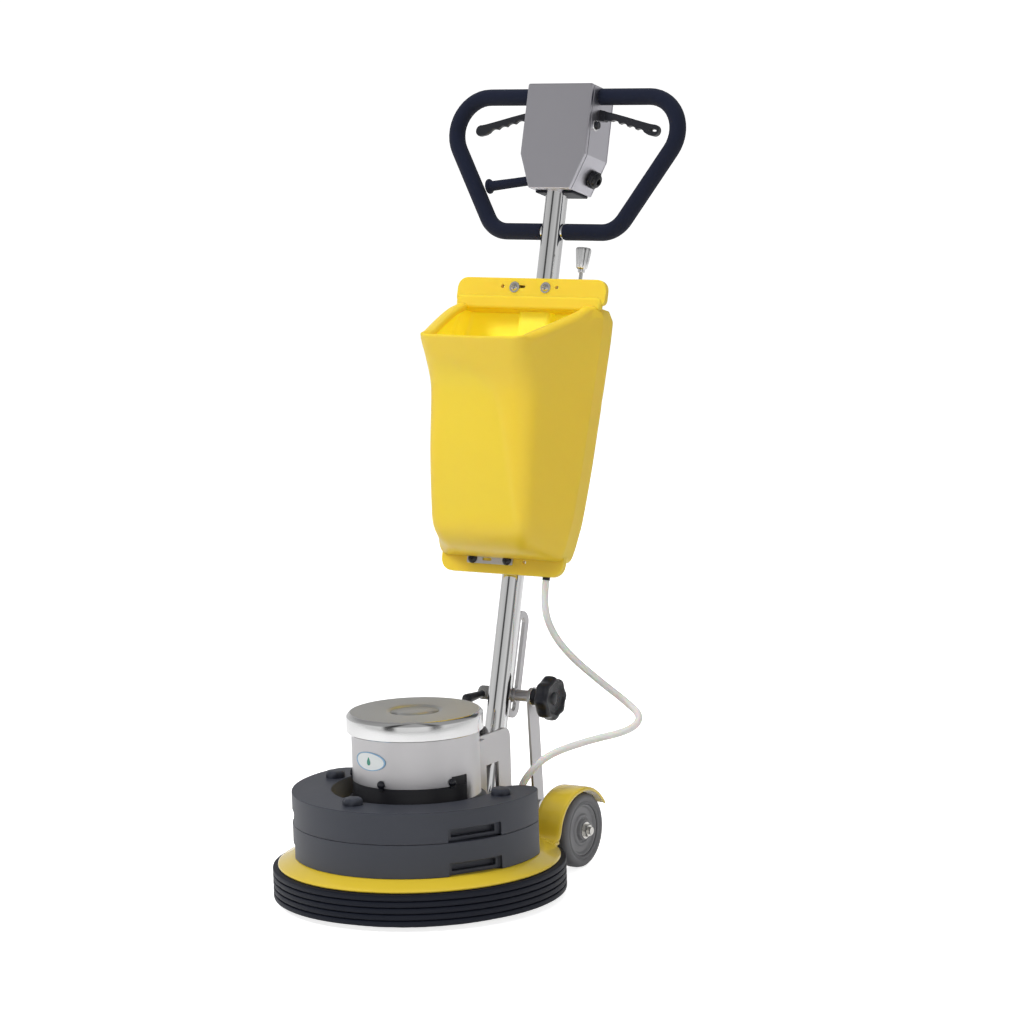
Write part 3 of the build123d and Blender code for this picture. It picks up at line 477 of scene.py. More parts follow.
LOOKS = {
    "yellow_paint": coated("yellow paint", (0.80, 0.58, 0.04), 0.22, drift=0.05, grain=260.0, pebble=0.0,
                           strength=0.12,
                           worn=(0.9, 0.72, 0.2), wear=0.4, **{"Coat Weight": 0.6, "Coat Roughness": 0.08}),
    "black_rubber": coated("black rubber", (0.007, 0.009, 0.017), 0.5, grain=1500.0, pebble=0.4,
                           worn=(0.04, 0.04, 0.06), wear=0.4, **{"Specular IOR Level": 0.22}),
    "weight_paint": coated("weight paint", (0.036, 0.040, 0.054), 0.46, drift=0.12, grain=520.0,
                           pebble=0.25, strength=0.3,
                           worn=(0.12, 0.12, 0.15), wear=0.6),
    "black_cast": coated("black casting", (0.010, 0.010, 0.013), 0.38, grain=800.0,
                         worn=(0.05, 0.05, 0.05)),
    "gear_steel": bare_metal("gear steel", (0.42, 0.42, 0.44), 0.32),
    "satin_steel": bare_metal("satin steel", (0.56, 0.55, 0.56), 0.36, stretch=(7.0, 7.0, 850.0)),
    "black_plastic": coated("black plastic", (0.010, 0.011, 0.016), 0.28, grain=900.0, strength=0.2,
                            worn=(0.05, 0.05, 0.06)),
    "polished_steel": bare_metal("polished steel", (0.80, 0.80, 0.80), 0.10, stretch=(5.0, 5.0, 500.0),
                                 amount=0.05),
    "badge_enamel": coated("badge enamel", (0.80, 0.84, 0.84), 0.20, drift=0.03, strength=0.1),
    "lamination": bare_metal("stacked steel", (0.28, 0.28, 0.30), 0.45, stretch=(2.0, 2.0, 1400.0)),
    "capacitor_case": coated("capacitor case", (0.06, 0.06, 0.07), 0.3),
    "bolt_steel": bare_metal("plated bolt steel", (0.66, 0.65, 0.62), 0.20, stretch=(300.0, 300.0, 300.0)),
    "brass_fitting": bare_metal("brass", (0.62, 0.45, 0.16), 0.28),
    # Painted shade: the pad is coloured near black for the shadow under the bumper, in place of the fibre's
    # own red.
    "pad_fibre": coated("pad fibre dark with painted shade", (0.018, 0.018, 0.02), 0.9, drift=0.4, drift_scale=160.0, grain=420.0,
                        pebble=0.6, depth=0.0008, strength=0.9),
    "grey_tyre": coated("grey tyre", (0.15, 0.15, 0.158), 0.5, grain=900.0, pebble=0.3,
                        worn=(0.2, 0.2, 0.2)),
    "grey_hub": coated("grey hub", (0.24, 0.24, 0.25), 0.42, grain=900.0, worn=(0.3, 0.3, 0.3)),
    "chrome_tube": bare_metal("chrome tube", (0.82, 0.82, 0.82), 0.07, stretch=(3.0, 3.0, 60.0),
                              amount=0.05,
                              strength=0.1),
    "yellow_plastic": coated("yellow moulded plastic", (0.88, 0.635, 0.045), 0.36, drift=0.05,
                             drift_scale=5.0, grain=420.0,
                             pebble=0.15, strength=0.2, worn=(0.9, 0.75, 0.2), wear=0.25,
                             **{"Subsurface Weight": 0.35, "Subsurface Scale": 0.012,
                                "Subsurface Radius": (1.0, 0.75, 0.2)}),
    "clear_hose": coated("clear hose", (0.90, 0.91, 0.88), 0.22, drift=0.05, grain=300.0, strength=0.1,
                         **{"Transmission Weight": 0.12, "Subsurface Weight": 0.6,
                            "Subsurface Scale": 0.006}),
    "foam": coated("foam sleeve", (0.007, 0.010, 0.025), 0.78, drift=0.25, drift_scale=60.0, grain=1300.0,
                   pebble=0.55,
                   depth=0.0002, strength=0.55,
                   **{"Sheen Weight": 0.06, "Sheen Roughness": 0.5, "Specular IOR Level": 0.3}),
    "chrome_trim": bare_metal("chrome trim", (0.78, 0.78, 0.78), 0.12, stretch=(120.0, 120.0, 120.0)),
    "box_steel": bare_metal("control box steel", (0.60, 0.59, 0.635), 0.36, stretch=(850.0, 7.0, 7.0)),
    "matt_steel": bare_metal("matt steel", (0.68, 0.68, 0.67), 0.42, stretch=(40.0, 40.0, 40.0),
                             amount=0.1),
    # Painted glow: a lighter, more saturated copy of the yellow plastic with a faint emission, for the
    # tank's inside faces.
    "glow_painted_plastic": coated("yellow plastic with painted glow", (0.97, 0.86, 0.10), 0.45, drift=0.04, drift_scale=5.0,
                          strength=0.1,
                          **{"Subsurface Weight": 0.3, "Subsurface Scale": 0.012,
                             "Emission Color": (0.9, 0.72, 0.02, 1), "Emission Strength": 0.16}),
    "badge_rim": coated("badge rim enamel", (0.28, 0.46, 0.66), 0.25, drift=0.04, strength=0.1),
    "badge_mark": coated("badge mark enamel", (0.06, 0.30, 0.22), 0.25, drift=0.04, strength=0.1),
    "cam_grey": coated("grey casting", (0.20, 0.20, 0.205), 0.4, grain=600.0, worn=(0.4, 0.4, 0.4)),
}
SLOT_OF = {part["node"]: part["material_slot"] for part in frame["record"]["subparts"]}


def dress_cad_nodes():
    """Every CAD node takes the finish of its own slot."""
    for name, node in frame["nodes"].items():
        look = LOOKS[SLOT_OF[name]]
        if not node.material_slots:
            node.data.materials.append(look)
        for place in node.material_slots:
            place.material = look


# ------------------------------------------------------------------ stage

FLOOR_GLOW, MIRRORED_GLOW, SKY_LEVEL, CEILING = 0.80, 0.35, 0.78, 0.5


def make_stage():
    """A pale floor that curves up far behind, and soft light from panels with darker gaps between them."""
    half_width, near, far, bend, steps = 30.0, -12.0, 22.0, 8.0, 12
    profile = [(near, 0.0), (far, 0.0)]
    profile += [(far + bend * math.sin(angle), bend * (1 - math.cos(angle)))
                for angle in (math.pi / 2 * step / steps for step in range(1, steps + 1))]
    points = [(x, y, z) for y, z in profile for x in (-half_width, half_width)]
    floor = new_piece("floor", points, grid_faces(len(profile), 2, wrap_columns=False), sharp_deg=80)
    look, tree, shader = new_look("pale floor", {"Specular IOR Level": 0.3})
    shade = place_group(tree, TONE_DRIFT, Color=(0.80, 0.80, 0.80, 1), Scale=0.6, Amount=0.01,
                        Roughness=0.5)
    seen = add_node(tree, "ShaderNodeLightPath")
    glow = add_node(tree, "ShaderNodeMix", data_type="RGBA")
    glow.inputs[6].default_value, glow.inputs[7].default_value = (0, 0, 0, 1), (1, 1, 1, 1)
    faint = add_node(tree, "ShaderNodeMath", {1: MIRRORED_GLOW}, operation="MULTIPLY")
    tree.links.new(seen.outputs["Is Glossy Ray"], faint.inputs[0])
    either = add_node(tree, "ShaderNodeMath", operation="MAXIMUM")
    tree.links.new(seen.outputs["Is Camera Ray"], either.inputs[0])
    tree.links.new(faint.outputs[0], either.inputs[1])
    tree.links.new(either.outputs[0], glow.inputs["Factor"])
    tree.links.new(glow.outputs[2], shader.inputs["Emission Color"])
    shader.inputs["Emission Strength"].default_value = FLOOR_GLOW
    tree.links.new(shade.outputs["Color"], shader.inputs["Base Color"])
    tree.links.new(shade.outputs["Roughness"], shader.inputs["Roughness"])
    floor.data.materials.append(look)
    light_panel("key panel", (-1.6, -3.2, 4.4), (0, 0, 0.7), 2.0, 165)
    light_panel("right panel", (3.8, -0.4, 1.8), (0, 0, 0.6), 1.2, 16)
    light_panel("top panel", (0.0, 0.4, 4.2), (0, 0, 0.4), 2.6, 45)
    light_panel("rear panel", (-1.5, 4.0, 2.4), (0, 0, 0.7), 2.0, 26)
    make_sky()
    bpy.context.scene.view_settings.view_transform = "Standard"


def light_panel(name, place, target, size, power):
    data = bpy.data.lights.new(name, "AREA")
    data.energy = power
    data.size = size
    lamp = bpy.data.objects.new(name, data)
    bpy.context.scene.collection.objects.link(lamp)
    lamp.location = place
    lamp.visible_glossy = False
    lamp.rotation_euler = (Vector(target) - Vector(place)).to_track_quat("-Z", "Y").to_euler()


def make_sky():
    """White walls with upright dark gaps, which bright metal shows as streaks."""
    world = bpy.data.worlds.new("studio walls")
    world.use_nodes = True
    tree = world.node_tree
    background = tree.nodes["Background"]
    place = add_node(tree, "ShaderNodeTexCoord")
    split = add_node(tree, "ShaderNodeSeparateXYZ")
    tree.links.new(place.outputs["Generated"], split.inputs[0])
    bearing = add_node(tree, "ShaderNodeMath", operation="ARCTAN2")
    tree.links.new(split.outputs[1], bearing.inputs[0])
    tree.links.new(split.outputs[0], bearing.inputs[1])
    around = remap(tree, bearing.outputs[0], 0.0, 1.0, -math.pi, math.pi)
    gaps = add_node(tree, "ShaderNodeValToRGB")
    ramp = gaps.color_ramp
    stops = [(0.0, 0.75), (0.10, 0.9), (0.18, 0.9), (0.205, 0.10), (0.235, 0.12), (0.26, 0.95), (0.40, 1.0),
             (0.43, 0.22), (0.455, 0.30), (0.48, 0.9), (0.66, 0.8), (0.70, 0.15), (0.74, 0.2), (0.78, 0.8),
             (1.0, 0.75)]
    while len(ramp.elements) < len(stops):
        ramp.elements.new(0.5)
    for element, (position, _) in zip(ramp.elements, stops):
        element.position = position
    for element, (_, tone) in zip(ramp.elements, stops):
        element.color = (tone, tone, tone, 1)
    tree.links.new(around.outputs[0], gaps.inputs["Fac"])
    seen = add_node(tree, "ShaderNodeLightPath")
    mix = add_node(tree, "ShaderNodeMix", data_type="RGBA")
    mix.inputs[7].default_value = (2, 2, 2, 1)
    tree.links.new(seen.outputs["Is Camera Ray"], mix.inputs["Factor"])
    height = remap(tree, split.outputs[2], 1.0, CEILING, 0.12, 0.55)
    dimmed = add_node(tree, "ShaderNodeMix", data_type="RGBA", blend_type="MULTIPLY")
    dimmed.inputs["Factor"].default_value = 1.0
    tree.links.new(gaps.outputs["Color"], dimmed.inputs[6])
    tree.links.new(height.outputs[0], dimmed.inputs[7])
    tree.links.new(dimmed.outputs[2], mix.inputs[6])
    tree.links.new(mix.outputs[2], background.inputs["Color"])
    background.inputs["Strength"].default_value = SKY_LEVEL
    bpy.context.scene.world = world


# ------------------------------------------------------------------ solution hose

HOSE_RADIUS = 0.0055
SPIGOT_FOOT, SPIGOT_SIDE, SPIGOT_BACK = 0.227, 0.074, -0.024


def hose_line():
    """The hose's centre line, from the tank's spigot to the deck's inlet."""
    start = MAST @ Vector((SPIGOT_SIDE, SPIGOT_BACK, SPIGOT_FOOT))
    below = MAST @ Vector((SPIGOT_SIDE, SPIGOT_BACK, SPIGOT_FOOT - 0.038))
    route = [start, below,
             (0.080, 0.268, 0.362), (0.098, 0.290, 0.322), (0.124, 0.336, 0.275), (0.150, 0.373, 0.237),
             (0.1866, 0.3557, 0.220), (0.189, 0.314, 0.2065), (0.141, 0.266, 0.1966),
             (0.106, 0.207, 0.184), (0.085, 0.187, 0.160), (0.0655, 0.183, 0.130),
             (0.0655, 0.183, 0.098)]
    curve = bpy.data.curves.new("hose line", "CURVE")
    curve.dimensions = "3D"
    spline = curve.splines.new("NURBS")
    spline.points.add(len(route) - 1)
    for point, place in zip(spline.points, route):
        point.co = (*place, 1)
    spline.order_u = 3
    spline.use_endpoint_u = True
    spline.resolution_u = 10
    holder = bpy.data.objects.new("hose line", curve)
    bpy.context.scene.collection.objects.link(holder)
    depsgraph = bpy.context.evaluated_depsgraph_get()
    line = bpy.data.meshes.new_from_object(holder.evaluated_get(depsgraph))
    path = [vertex.co.copy() for vertex in line.vertices]
    bpy.data.objects.remove(holder)
    return path


def make_hose():
    path = hose_line()
    hose = tube("hose", path, HOSE_RADIUS, sides=24)
    hose.data.materials.append(LOOKS["clear_hose"])
    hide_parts("hose")
    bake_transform(hose)


# ------------------------------------------------------------------ tank

def smooth_between(table, level, column):
    """A column of a table of rows at rising levels, read smoothly between them."""
    rows = [row[0] for row in table]
    index = max(1, min(len(rows) - 1, sum(row <= level for row in rows)))
    low, high = table[index - 1], table[index]
    before, after = table[max(index - 2, 0)], table[min(index + 1, len(table) - 1)]
    span = high[0] - low[0]
    t = min(1.0, max(0.0, (level - low[0]) / span))
    slope_low = (high[column] - before[column]) / (high[0] - before[0]) * span
    slope_high = (after[column] - low[column]) / (after[0] - low[0]) * span
    return ((2 * t ** 3 - 3 * t ** 2 + 1) * low[column] + (t ** 3 - 2 * t ** 2 + t) * slope_low
            + (3 * t ** 2 - 2 * t ** 3) * high[column] + (t ** 3 - t ** 2) * slope_high)


# At levels along the mast: how far back the front wall stands, the half widths in front and behind,
# and the front corners' radius, all in millimetres.
TANK_FORM = (
    (255, -52, 46, 98, 12), (257, -66, 55, 105, 16), (261, -84, 63, 109, 20), (268, -100, 70, 112, 23),
    (280, -114, 77, 115, 26), (296, -123, 82, 118, 28), (320, -129, 84, 122, 30), (400, -148, 87, 128, 34),
    (470, -161, 88.5, 131, 40), (490, -165, 89, 132, 42), (505, -169.5, 89.5, 132, 44),
    (520, -177, 90.3, 133, 45),
    (545, -192, 92, 134, 40), (571.5, -208.5, 93, 135, 30), (600, -222, 94, 136, 30),
    (625, -233.5, 94.4, 136, 30),
    (636, -238.7, 94.6, 135, 30), (642, -241.5, 94.7, 132.5, 30), (648, -244.3, 94.8, 127, 30),
    (654, -247, 94.9, 119, 30),
    (660, -250, 95, 112, 30))
TANK_FOOT, TANK_WALL_MM, FLANGE_BACK, MOUTH_TOP, MOUTH_SLOPE, ROOF = 255.0, 5.0, -48.0, 656.0, 0.5265, 648.0
GROOVE_HALF, GROOVE_BACK, TANK_BACK = 24.0, -24.0, -6.0


@functools.lru_cache(maxsize=None)
def tank_outline(level):
    """The tank's outer line at one level, counterclockwise from the front's right corner."""
    front, half_front, half_back, radius = (smooth_between(TANK_FORM, level, column)
                                            for column in (1, 2, 3, 4))
    right = [(half_front, front, radius), (half_back, -46, 12), (half_back, TANK_BACK, 13),
             (GROOVE_HALF, TANK_BACK, 4), (GROOVE_HALF, GROOVE_BACK, 4)]
    left = [(-across, behind, bend) for across, behind, bend in reversed(right)]
    return rounded(right + left + [(0, front - 4, 700)], steps=8, straight=9)


def mouth_height(behind):
    """How high the wall stands, for a point that far behind the mast's axis."""
    rear = min(1.0, max(0.0, (behind + 62) / 20))
    sloping = MOUTH_TOP + MOUTH_SLOPE * (behind - FLANGE_BACK)
    return min(sloping, MOUTH_TOP - (MOUTH_TOP - ROOF) * rear)


# The right edge of the arched recess in the tank's front: its distance across at rising levels.
ARCH_EDGE = ((255, 84), (288, 80), (373, 67), (430, 57), (481, 45), (505, 31), (522, 10), (534, -25),
             (540, -60), (560, -100))
ARCH_DEPTH, ARCH_SOFTNESS = 3.2, 15.0


def eased(value):
    value = min(1.0, max(0.0, value))
    return value * value * (3 - 2 * value)


def panel_recess(across, behind, level):
    """How deep the front panel is pressed in inside its arch, fading at the foot and at the left corner."""
    if behind > -50:
        return 0.0
    inside = eased((smooth_between(ARCH_EDGE, level, 1) - across) / ARCH_SOFTNESS)
    return ARCH_DEPTH * inside * eased((across + 90) / 30) * eased((level - 262) / 60)


@functools.lru_cache(maxsize=None)
def mouth_point(column):
    """Where one column of the wall meets the mouth: across, behind and the level."""
    level = 600.0
    for _ in range(5):
        across, behind = tank_outline(level)[column]
        level = mouth_height(behind)
    return across, behind, level


def tank_wall_point(column, share, offset, lift):
    """A point of the wall: share runs from foot to mouth, offset goes outward and lift goes up."""
    level = TANK_FOOT + (mouth_point(column)[2] - TANK_FOOT) * share
    if offset == 0:
        across, behind = tank_outline(level)[column]
        offset = -panel_recess(across, behind, level) * eased((0.95 - share) / 0.10)
    outline = tank_outline(level)
    before, here, after = (Vector(outline[(column + step) % len(outline)]) for step in (-1, 0, 1))
    along = (after - before).normalized()
    place = here + offset * Vector((along.y, -along.x))
    return MAST @ (Vector((place.x, place.y, level + lift)) * MM)


def make_tank_shell():
    count = len(tank_outline(500.0))
    shares = [0.5 - 0.5 * math.cos(math.pi * (0.04 + 0.92 * step / 40)) for step in range(41)]
    shares = [(share - shares[0]) / (shares[-1] - shares[0]) for share in shares]
    side_roll = [(0, -11.5), (-0.6, -8.5), (-1.8, -5.5), (-3.8, -2.8), (-7.2, -0.6), (-11.0, 0.4),
                 (-15.0, 0.2), (-18.6, -0.6),
                 (-21.0, -2.4), (-21.8, -6), (-20.5, -11), (-15, -17), (-8.0, -22)]
    lip_roll = [(-6.5, -10.5), (-4.2, -7), (-2.0, -3.8), (-0.4, -1.2), (0.3, 0.8), (-0.4, 2.2), (-2.2, 2.8),
                (-4.4, 2.2),
                (-6.6, 0.4), (-8.6, -2.8), (-10.8, -7), (-13.6, -12), (-17, -19)]
    points, rows = [], 0
    shares = [share for share in shares if share < 0.965]
    for share in shares:
        points += [tank_wall_point(column, share, 0, 0) for column in range(count)]
        rows += 1
    behind = [tank_outline(mouth_height(-50))[column][1] for column in range(count)]
    rim_behind = [mouth_point(column)[1] for column in range(count)]
    lip = min(tank_outline(571.5), key=lambda point: point[1])[1]
    for index, (side_place, lip_place) in enumerate(zip(side_roll, lip_roll)):
        for column in range(count):
            weight = min(1.0, max(0.0, (-44 - behind[column]) / 14))
            level_offset = -TANK_WALL_MM * index / (len(lip_roll) - 1)
            share = min(1.0, max(0.0, (rim_behind[column] - lip - 4) / 26))
            offset, lift = Vector(lip_place).lerp(Vector(side_place), share * share * (3 - 2 * share))
            points.append(tank_wall_point(column, 1.0, level_offset + (offset - level_offset) * weight,
                                          lift * weight))
        rows += 1
    inside_rows = len(shares[2:-4:2]) + 3
    for share in reversed(shares[2:-4:2]):
        points += [tank_wall_point(column, share, -TANK_WALL_MM, 0) for column in range(count)]
        rows += 1
    faces = grid_faces(rows, count)
    faces += [tuple(reversed(range(count))), tuple(range((rows - 1) * count, rows * count))]
    shell = new_piece("tank_shell", points, faces, sharp_deg=60)
    finish_piece(shell, LOOKS["yellow_plastic"], "mast", "tank")
    # The tank's inside faces take the copy of the yellow plastic with painted glow.
    shell.data.materials.append(LOOKS["glow_painted_plastic"])
    first_inside = (rows - inside_rows) * count
    for face in shell.data.polygons:
        face.material_index = int(min(face.vertices) >= first_inside)


def make_tank_roof_and_flanges():
    outline = [point for point in tank_outline(ROOF) if point[1] > FLANGE_BACK + 1]
    roof = prism("tank_roof", [(x * MM, y * MM) for x, y in outline], 0.642, 0.648, MAST)
    finish_piece(ease_edges(roof, 0.0015), LOOKS["yellow_plastic"], "mast")
    head = rounded([(0.136, 0.6915, 0.017), (-0.132, 0.6915, 0.017), (-0.132, 0.652, 0.008),
                    (0.136, 0.652, 0.008)])
    shelf = rounded([(0.131, 0.664, 0.008), (-0.131, 0.664, 0.008), (-0.131, 0.642, 0.008),
                     (0.131, 0.642, 0.008)])
    finish_piece(ease_edges(prism("tank_mouth_shelf", shelf, 0.040, 0.0515, facing_front()), 0.0052,
                            steps=5),
                 LOOKS["yellow_plastic"], "mast")
    flange = prism("tank_head_flange", head, 0.0395, 0.0485, facing_front())
    holes = [round_cutter(across, 0.678, 0.003) for across in (-0.050, 0.048)]
    holes.append(slot_cutter(-0.0165, 0.678, 0.0055, 0.0022))
    cut(flange, holes)
    finish_piece(ease_edges(flange, 0.0032, steps=4), LOOKS["yellow_plastic"], "mast")
    foot = rounded([(0.110, 0.231, 0.020), (0.110, 0.300, 0.020), (-0.110, 0.300, 0.020),
                    (-0.110, 0.231, 0.020)])
    skirt = prism("tank_foot_flange", foot, 0.0295, 0.0385, facing_front())
    cut(skirt, [round_cutter(0.040, 0.251, 0.0032)])
    finish_piece(ease_edges(skirt, 0.0034, steps=4), LOOKS["yellow_plastic"], "mast")


def round_cutter(across, along, radius):
    return prism("cutter", arc((across, along), radius, 0, 345, 23), 0.02, 0.06, facing_front())


def slot_cutter(across, along, half_length, radius):
    ends = (arc((across + half_length, along), radius, -90, 90, 8)
            + arc((across - half_length, along), radius, 90, 270, 8))
    return prism("cutter", ends, 0.02, 0.06, facing_front())


def make_screw(name, place, radius, height, look, body, washer=0.0, *stands_for):
    """A domed screw with a cross recess, its head rising along the placing's Z axis."""
    dome = [(radius * math.cos(angle), height * math.sin(angle))
            for angle in (math.pi / 2 * step / 7 for step in range(7))]
    head = lathe(name, [(radius * 0.96, -0.0002)] + dome, place, steps=40)
    reach, half = radius * 0.62, radius * 0.13
    cross = [rounded([(a, b, half * 0.5), (-a, b, half * 0.5), (-a, -b, half * 0.5), (a, -b, half * 0.5)],
                     steps=2)
             for a, b in ((reach, half), (half, reach))]
    cut(head, [prism("cutter", bar, height * 0.45, height * 2, place) for bar in cross])
    finish_piece(head, look, body, *stands_for)
    if washer:
        ring = turned_ring(name + "_washer",
                           [(radius * 0.6, -0.0003), (washer, -0.0003), (washer + 0.0002, 0.0004),
                            (washer - 0.0002, 0.001), (radius * 0.6, 0.001)], place, steps=40)
        finish_piece(ring, LOOKS["bolt_steel"], body)


def make_tank_fixings():
    front = facing_front()
    for index, across in enumerate((-0.028, 0.028)):
        place = front @ Matrix.Translation((across, 0.677, 0.0487))
        stands_for = ("tank_screws",) if index == 0 else ()
        make_screw(f"tank_head_screw_{index + 1}", place, 0.0062, 0.0036, LOOKS["bolt_steel"], "mast",
                   0.0088, *stands_for)
    for index, across in enumerate((-0.052, 0.010)):
        place = front @ Matrix.Translation((across, 0.252, 0.0407))
        make_screw(f"tank_foot_screw_{index + 1}", place, 0.0078, 0.0046, LOOKS["black_plastic"], "mast")
    plate = rounded([(0.020, 0.245, 0.002), (0.020, 0.259, 0.002), (-0.062, 0.259, 0.002),
                     (-0.062, 0.245, 0.002)])
    clip = prism("clip_plate_formed", plate, 0.0382, 0.0405, front)
    cut(clip, [slot_cutter(-0.026, 0.252, 0.006, 0.0024)])
    finish_piece(ease_edges(clip, 0.0006), LOOKS["satin_steel"], "mast", "clip_plate")


# ------------------------------------------------------------------ handle and control box

def on_mast(across, behind, along):
    return MAST @ (Vector((across, behind, along)) * MM)


def make_grip(side, sign):
    """A foam sleeve round one half of the loop, with rounded ends."""
    corners = [(Vector((sign * 57, 4, 990)), 0), (Vector((sign * 245, 4, 990)), 55.6),
               (Vector((sign * 111, 4, 775)), 45), (Vector((sign * 19.6, 4, 775)), 0)]
    path = divided(bent_path(corners, steps=14), 3.0)
    distances = [0.0]
    for start, end in zip(path, path[1:]):
        distances.append(distances[-1] + (end - start).length)
    total = distances[-1]
    ends = ((0.0, 11.4), (0.6, 12.6), (2.0, 13.1))
    inner = [(distance, 13.1) for distance in distances if 3.0 < distance < total - 3.0]
    stations = list(ends) + inner + [(total - distance, radius) for distance, radius in reversed(ends)]
    places = [point_along(path, distances, distance) for distance, _ in stations]
    grip = tube(f"foam_grip_{side}", [on_mast(*place) for place in places],
                [radius * MM for _, radius in stations], sides=36)
    finish_piece(grip, LOOKS["foam"], "mast", f"grip_{side}")


def point_along(path, distances, distance):
    for index in range(1, len(path)):
        if distance <= distances[index] or index == len(path) - 1:
            span = distances[index] - distances[index - 1]
            return path[index - 1].lerp(path[index], min(1.0, (distance - distances[index - 1]) / span))


BOX_CORNERS = ((-37, 838), (37, 838), (58.9, 893), (58.4, 1005), (-58.4, 1005), (-58.9, 893))


def box_outline(inset, radius):
    """The control box's outline, drawn in by an inset."""
    middle = Vector((0, 925))
    drawn = []
    for corner in BOX_CORNERS:
        inward = middle - Vector(corner)
        drawn.append(Vector(corner) + Vector((math.copysign(inset, inward.x),
                                              math.copysign(inset, inward.y))))
    return rounded([(u * MM, v * MM, radius * MM) for u, v in drawn], steps=4)


def make_control_box():
    """A folded front panel over a folded body, with a cover behind, and between panel and body a black
    filler that paints the shade of their gap.
    """
    front = facing_front()
    parts = (("box_front_panel", 0.0, 3.0, 0.0205, 0.028, 0.0018, "box_steel", ("box_shell",)),
             # Painted shade: a black filler set in the gap between the front panel and the body.
             ("box_gap_shade_filler", 1.3, 2.0, 0.0185, 0.0215, 0.0, "black_cast", ()),
             ("box_body", 0.2, 2.5, -0.0395, 0.0195, 0.0007, "box_steel", ()),
             ("box_rear_cover", 0.0, 2.5, -0.042, -0.0400, 0.0006, "box_steel", ("box_cover",)))
    for name, inset, radius, low, high, easing, look, stands_for in parts:
        part = prism(name, box_outline(inset, radius), low, high, front)
        if easing:
            ease_edges(part, easing)
        finish_piece(part, LOOKS[look], "mast", *stands_for)
    gasket = rounded([(0.034, 0.8345, 0.001), (0.034, 0.8385, 0.001), (-0.034, 0.8385, 0.001),
                      (-0.034, 0.8345, 0.001)], 2)
    finish_piece(ease_edges(prism("box_edge_strip", gasket, -0.037, 0.010, front), 0.001),
                 LOOKS["black_rubber"], "mast")
    for index, (across, along) in enumerate(((-48, 996), (48, 996), (-32, 848), (32, 848))):
        place = (MAST @ Matrix.Translation(Vector((across, 42, along)) * MM)
                 @ Matrix.Rotation(math.radians(-90), 4, "X"))
        make_screw(f"box_screw_{index + 1}", place, 0.0038, 0.0022, LOOKS["bolt_steel"], "mast")


def lever_outline(sign):
    """A hooked blade with four finger dips below and a rounded paddle at its tip."""
    outline = [(46, 955), (58, 953.5), (70, 952.6), (79, 951.6)]
    start, end, dips = Vector((80, 951.4)), Vector((141, 933.6)), 4
    along = (end - start) / dips
    inward = Vector((-along.y, along.x)).normalized()
    for dip in range(dips):
        for step in range(7):
            t = step / 6
            place = start + along * (dip + t) + inward * 3.4 * math.sin(math.pi * t) ** 0.8
            outline.append(tuple(place))
    outline += [(147, 930.2)] + arc((158, 937), 9, -105, 95, 14)
    outline += [(150, 947.2), (140, 949.6), (124, 953.6), (104, 958.8), (84, 963.6), (64, 967.4),
                (52, 970.2), (46, 971)]
    outline += arc((46, 963), 8, 100, 260, 8)[1:-1]
    if sign < 0:
        outline = [(-u, v) for u, v in reversed(outline)]
    return [(u * MM, v * MM) for u, v in outline]


def make_lever(side, sign):
    front = facing_front()
    lever = prism(f"squeeze_lever_{side}", lever_outline(sign), -0.0122, -0.0038, front)
    eye = [(sign * (0.1575 + 0.0056 * math.cos(a) + 0.0007 * math.sin(a)),
            0.937 + 0.0018 * math.sin(a) - 0.0014 * math.cos(a))
           for a in (TURN * k / 20 for k in range(20))]
    cut(lever, [prism("cutter", eye, -0.02, 0.01, front)])
    finish_piece(ease_edges(lever, 0.0021, steps=4), LOOKS["black_plastic"], f"trigger_{side}",
                 f"lever_{side}")
    root = rounded([(sign * 0.070, 0.951, 0.003), (sign * 0.070, 0.967, 0.003),
                    (sign * 0.049, 0.971, 0.003),
                    (sign * 0.049, 0.952, 0.003)], 3)
    block = face_outward(prism(f"lever_root_{side}", root, -0.0140, -0.0020, front))
    finish_piece(ease_edges(block, 0.0014), LOOKS["black_plastic"], f"trigger_{side}")


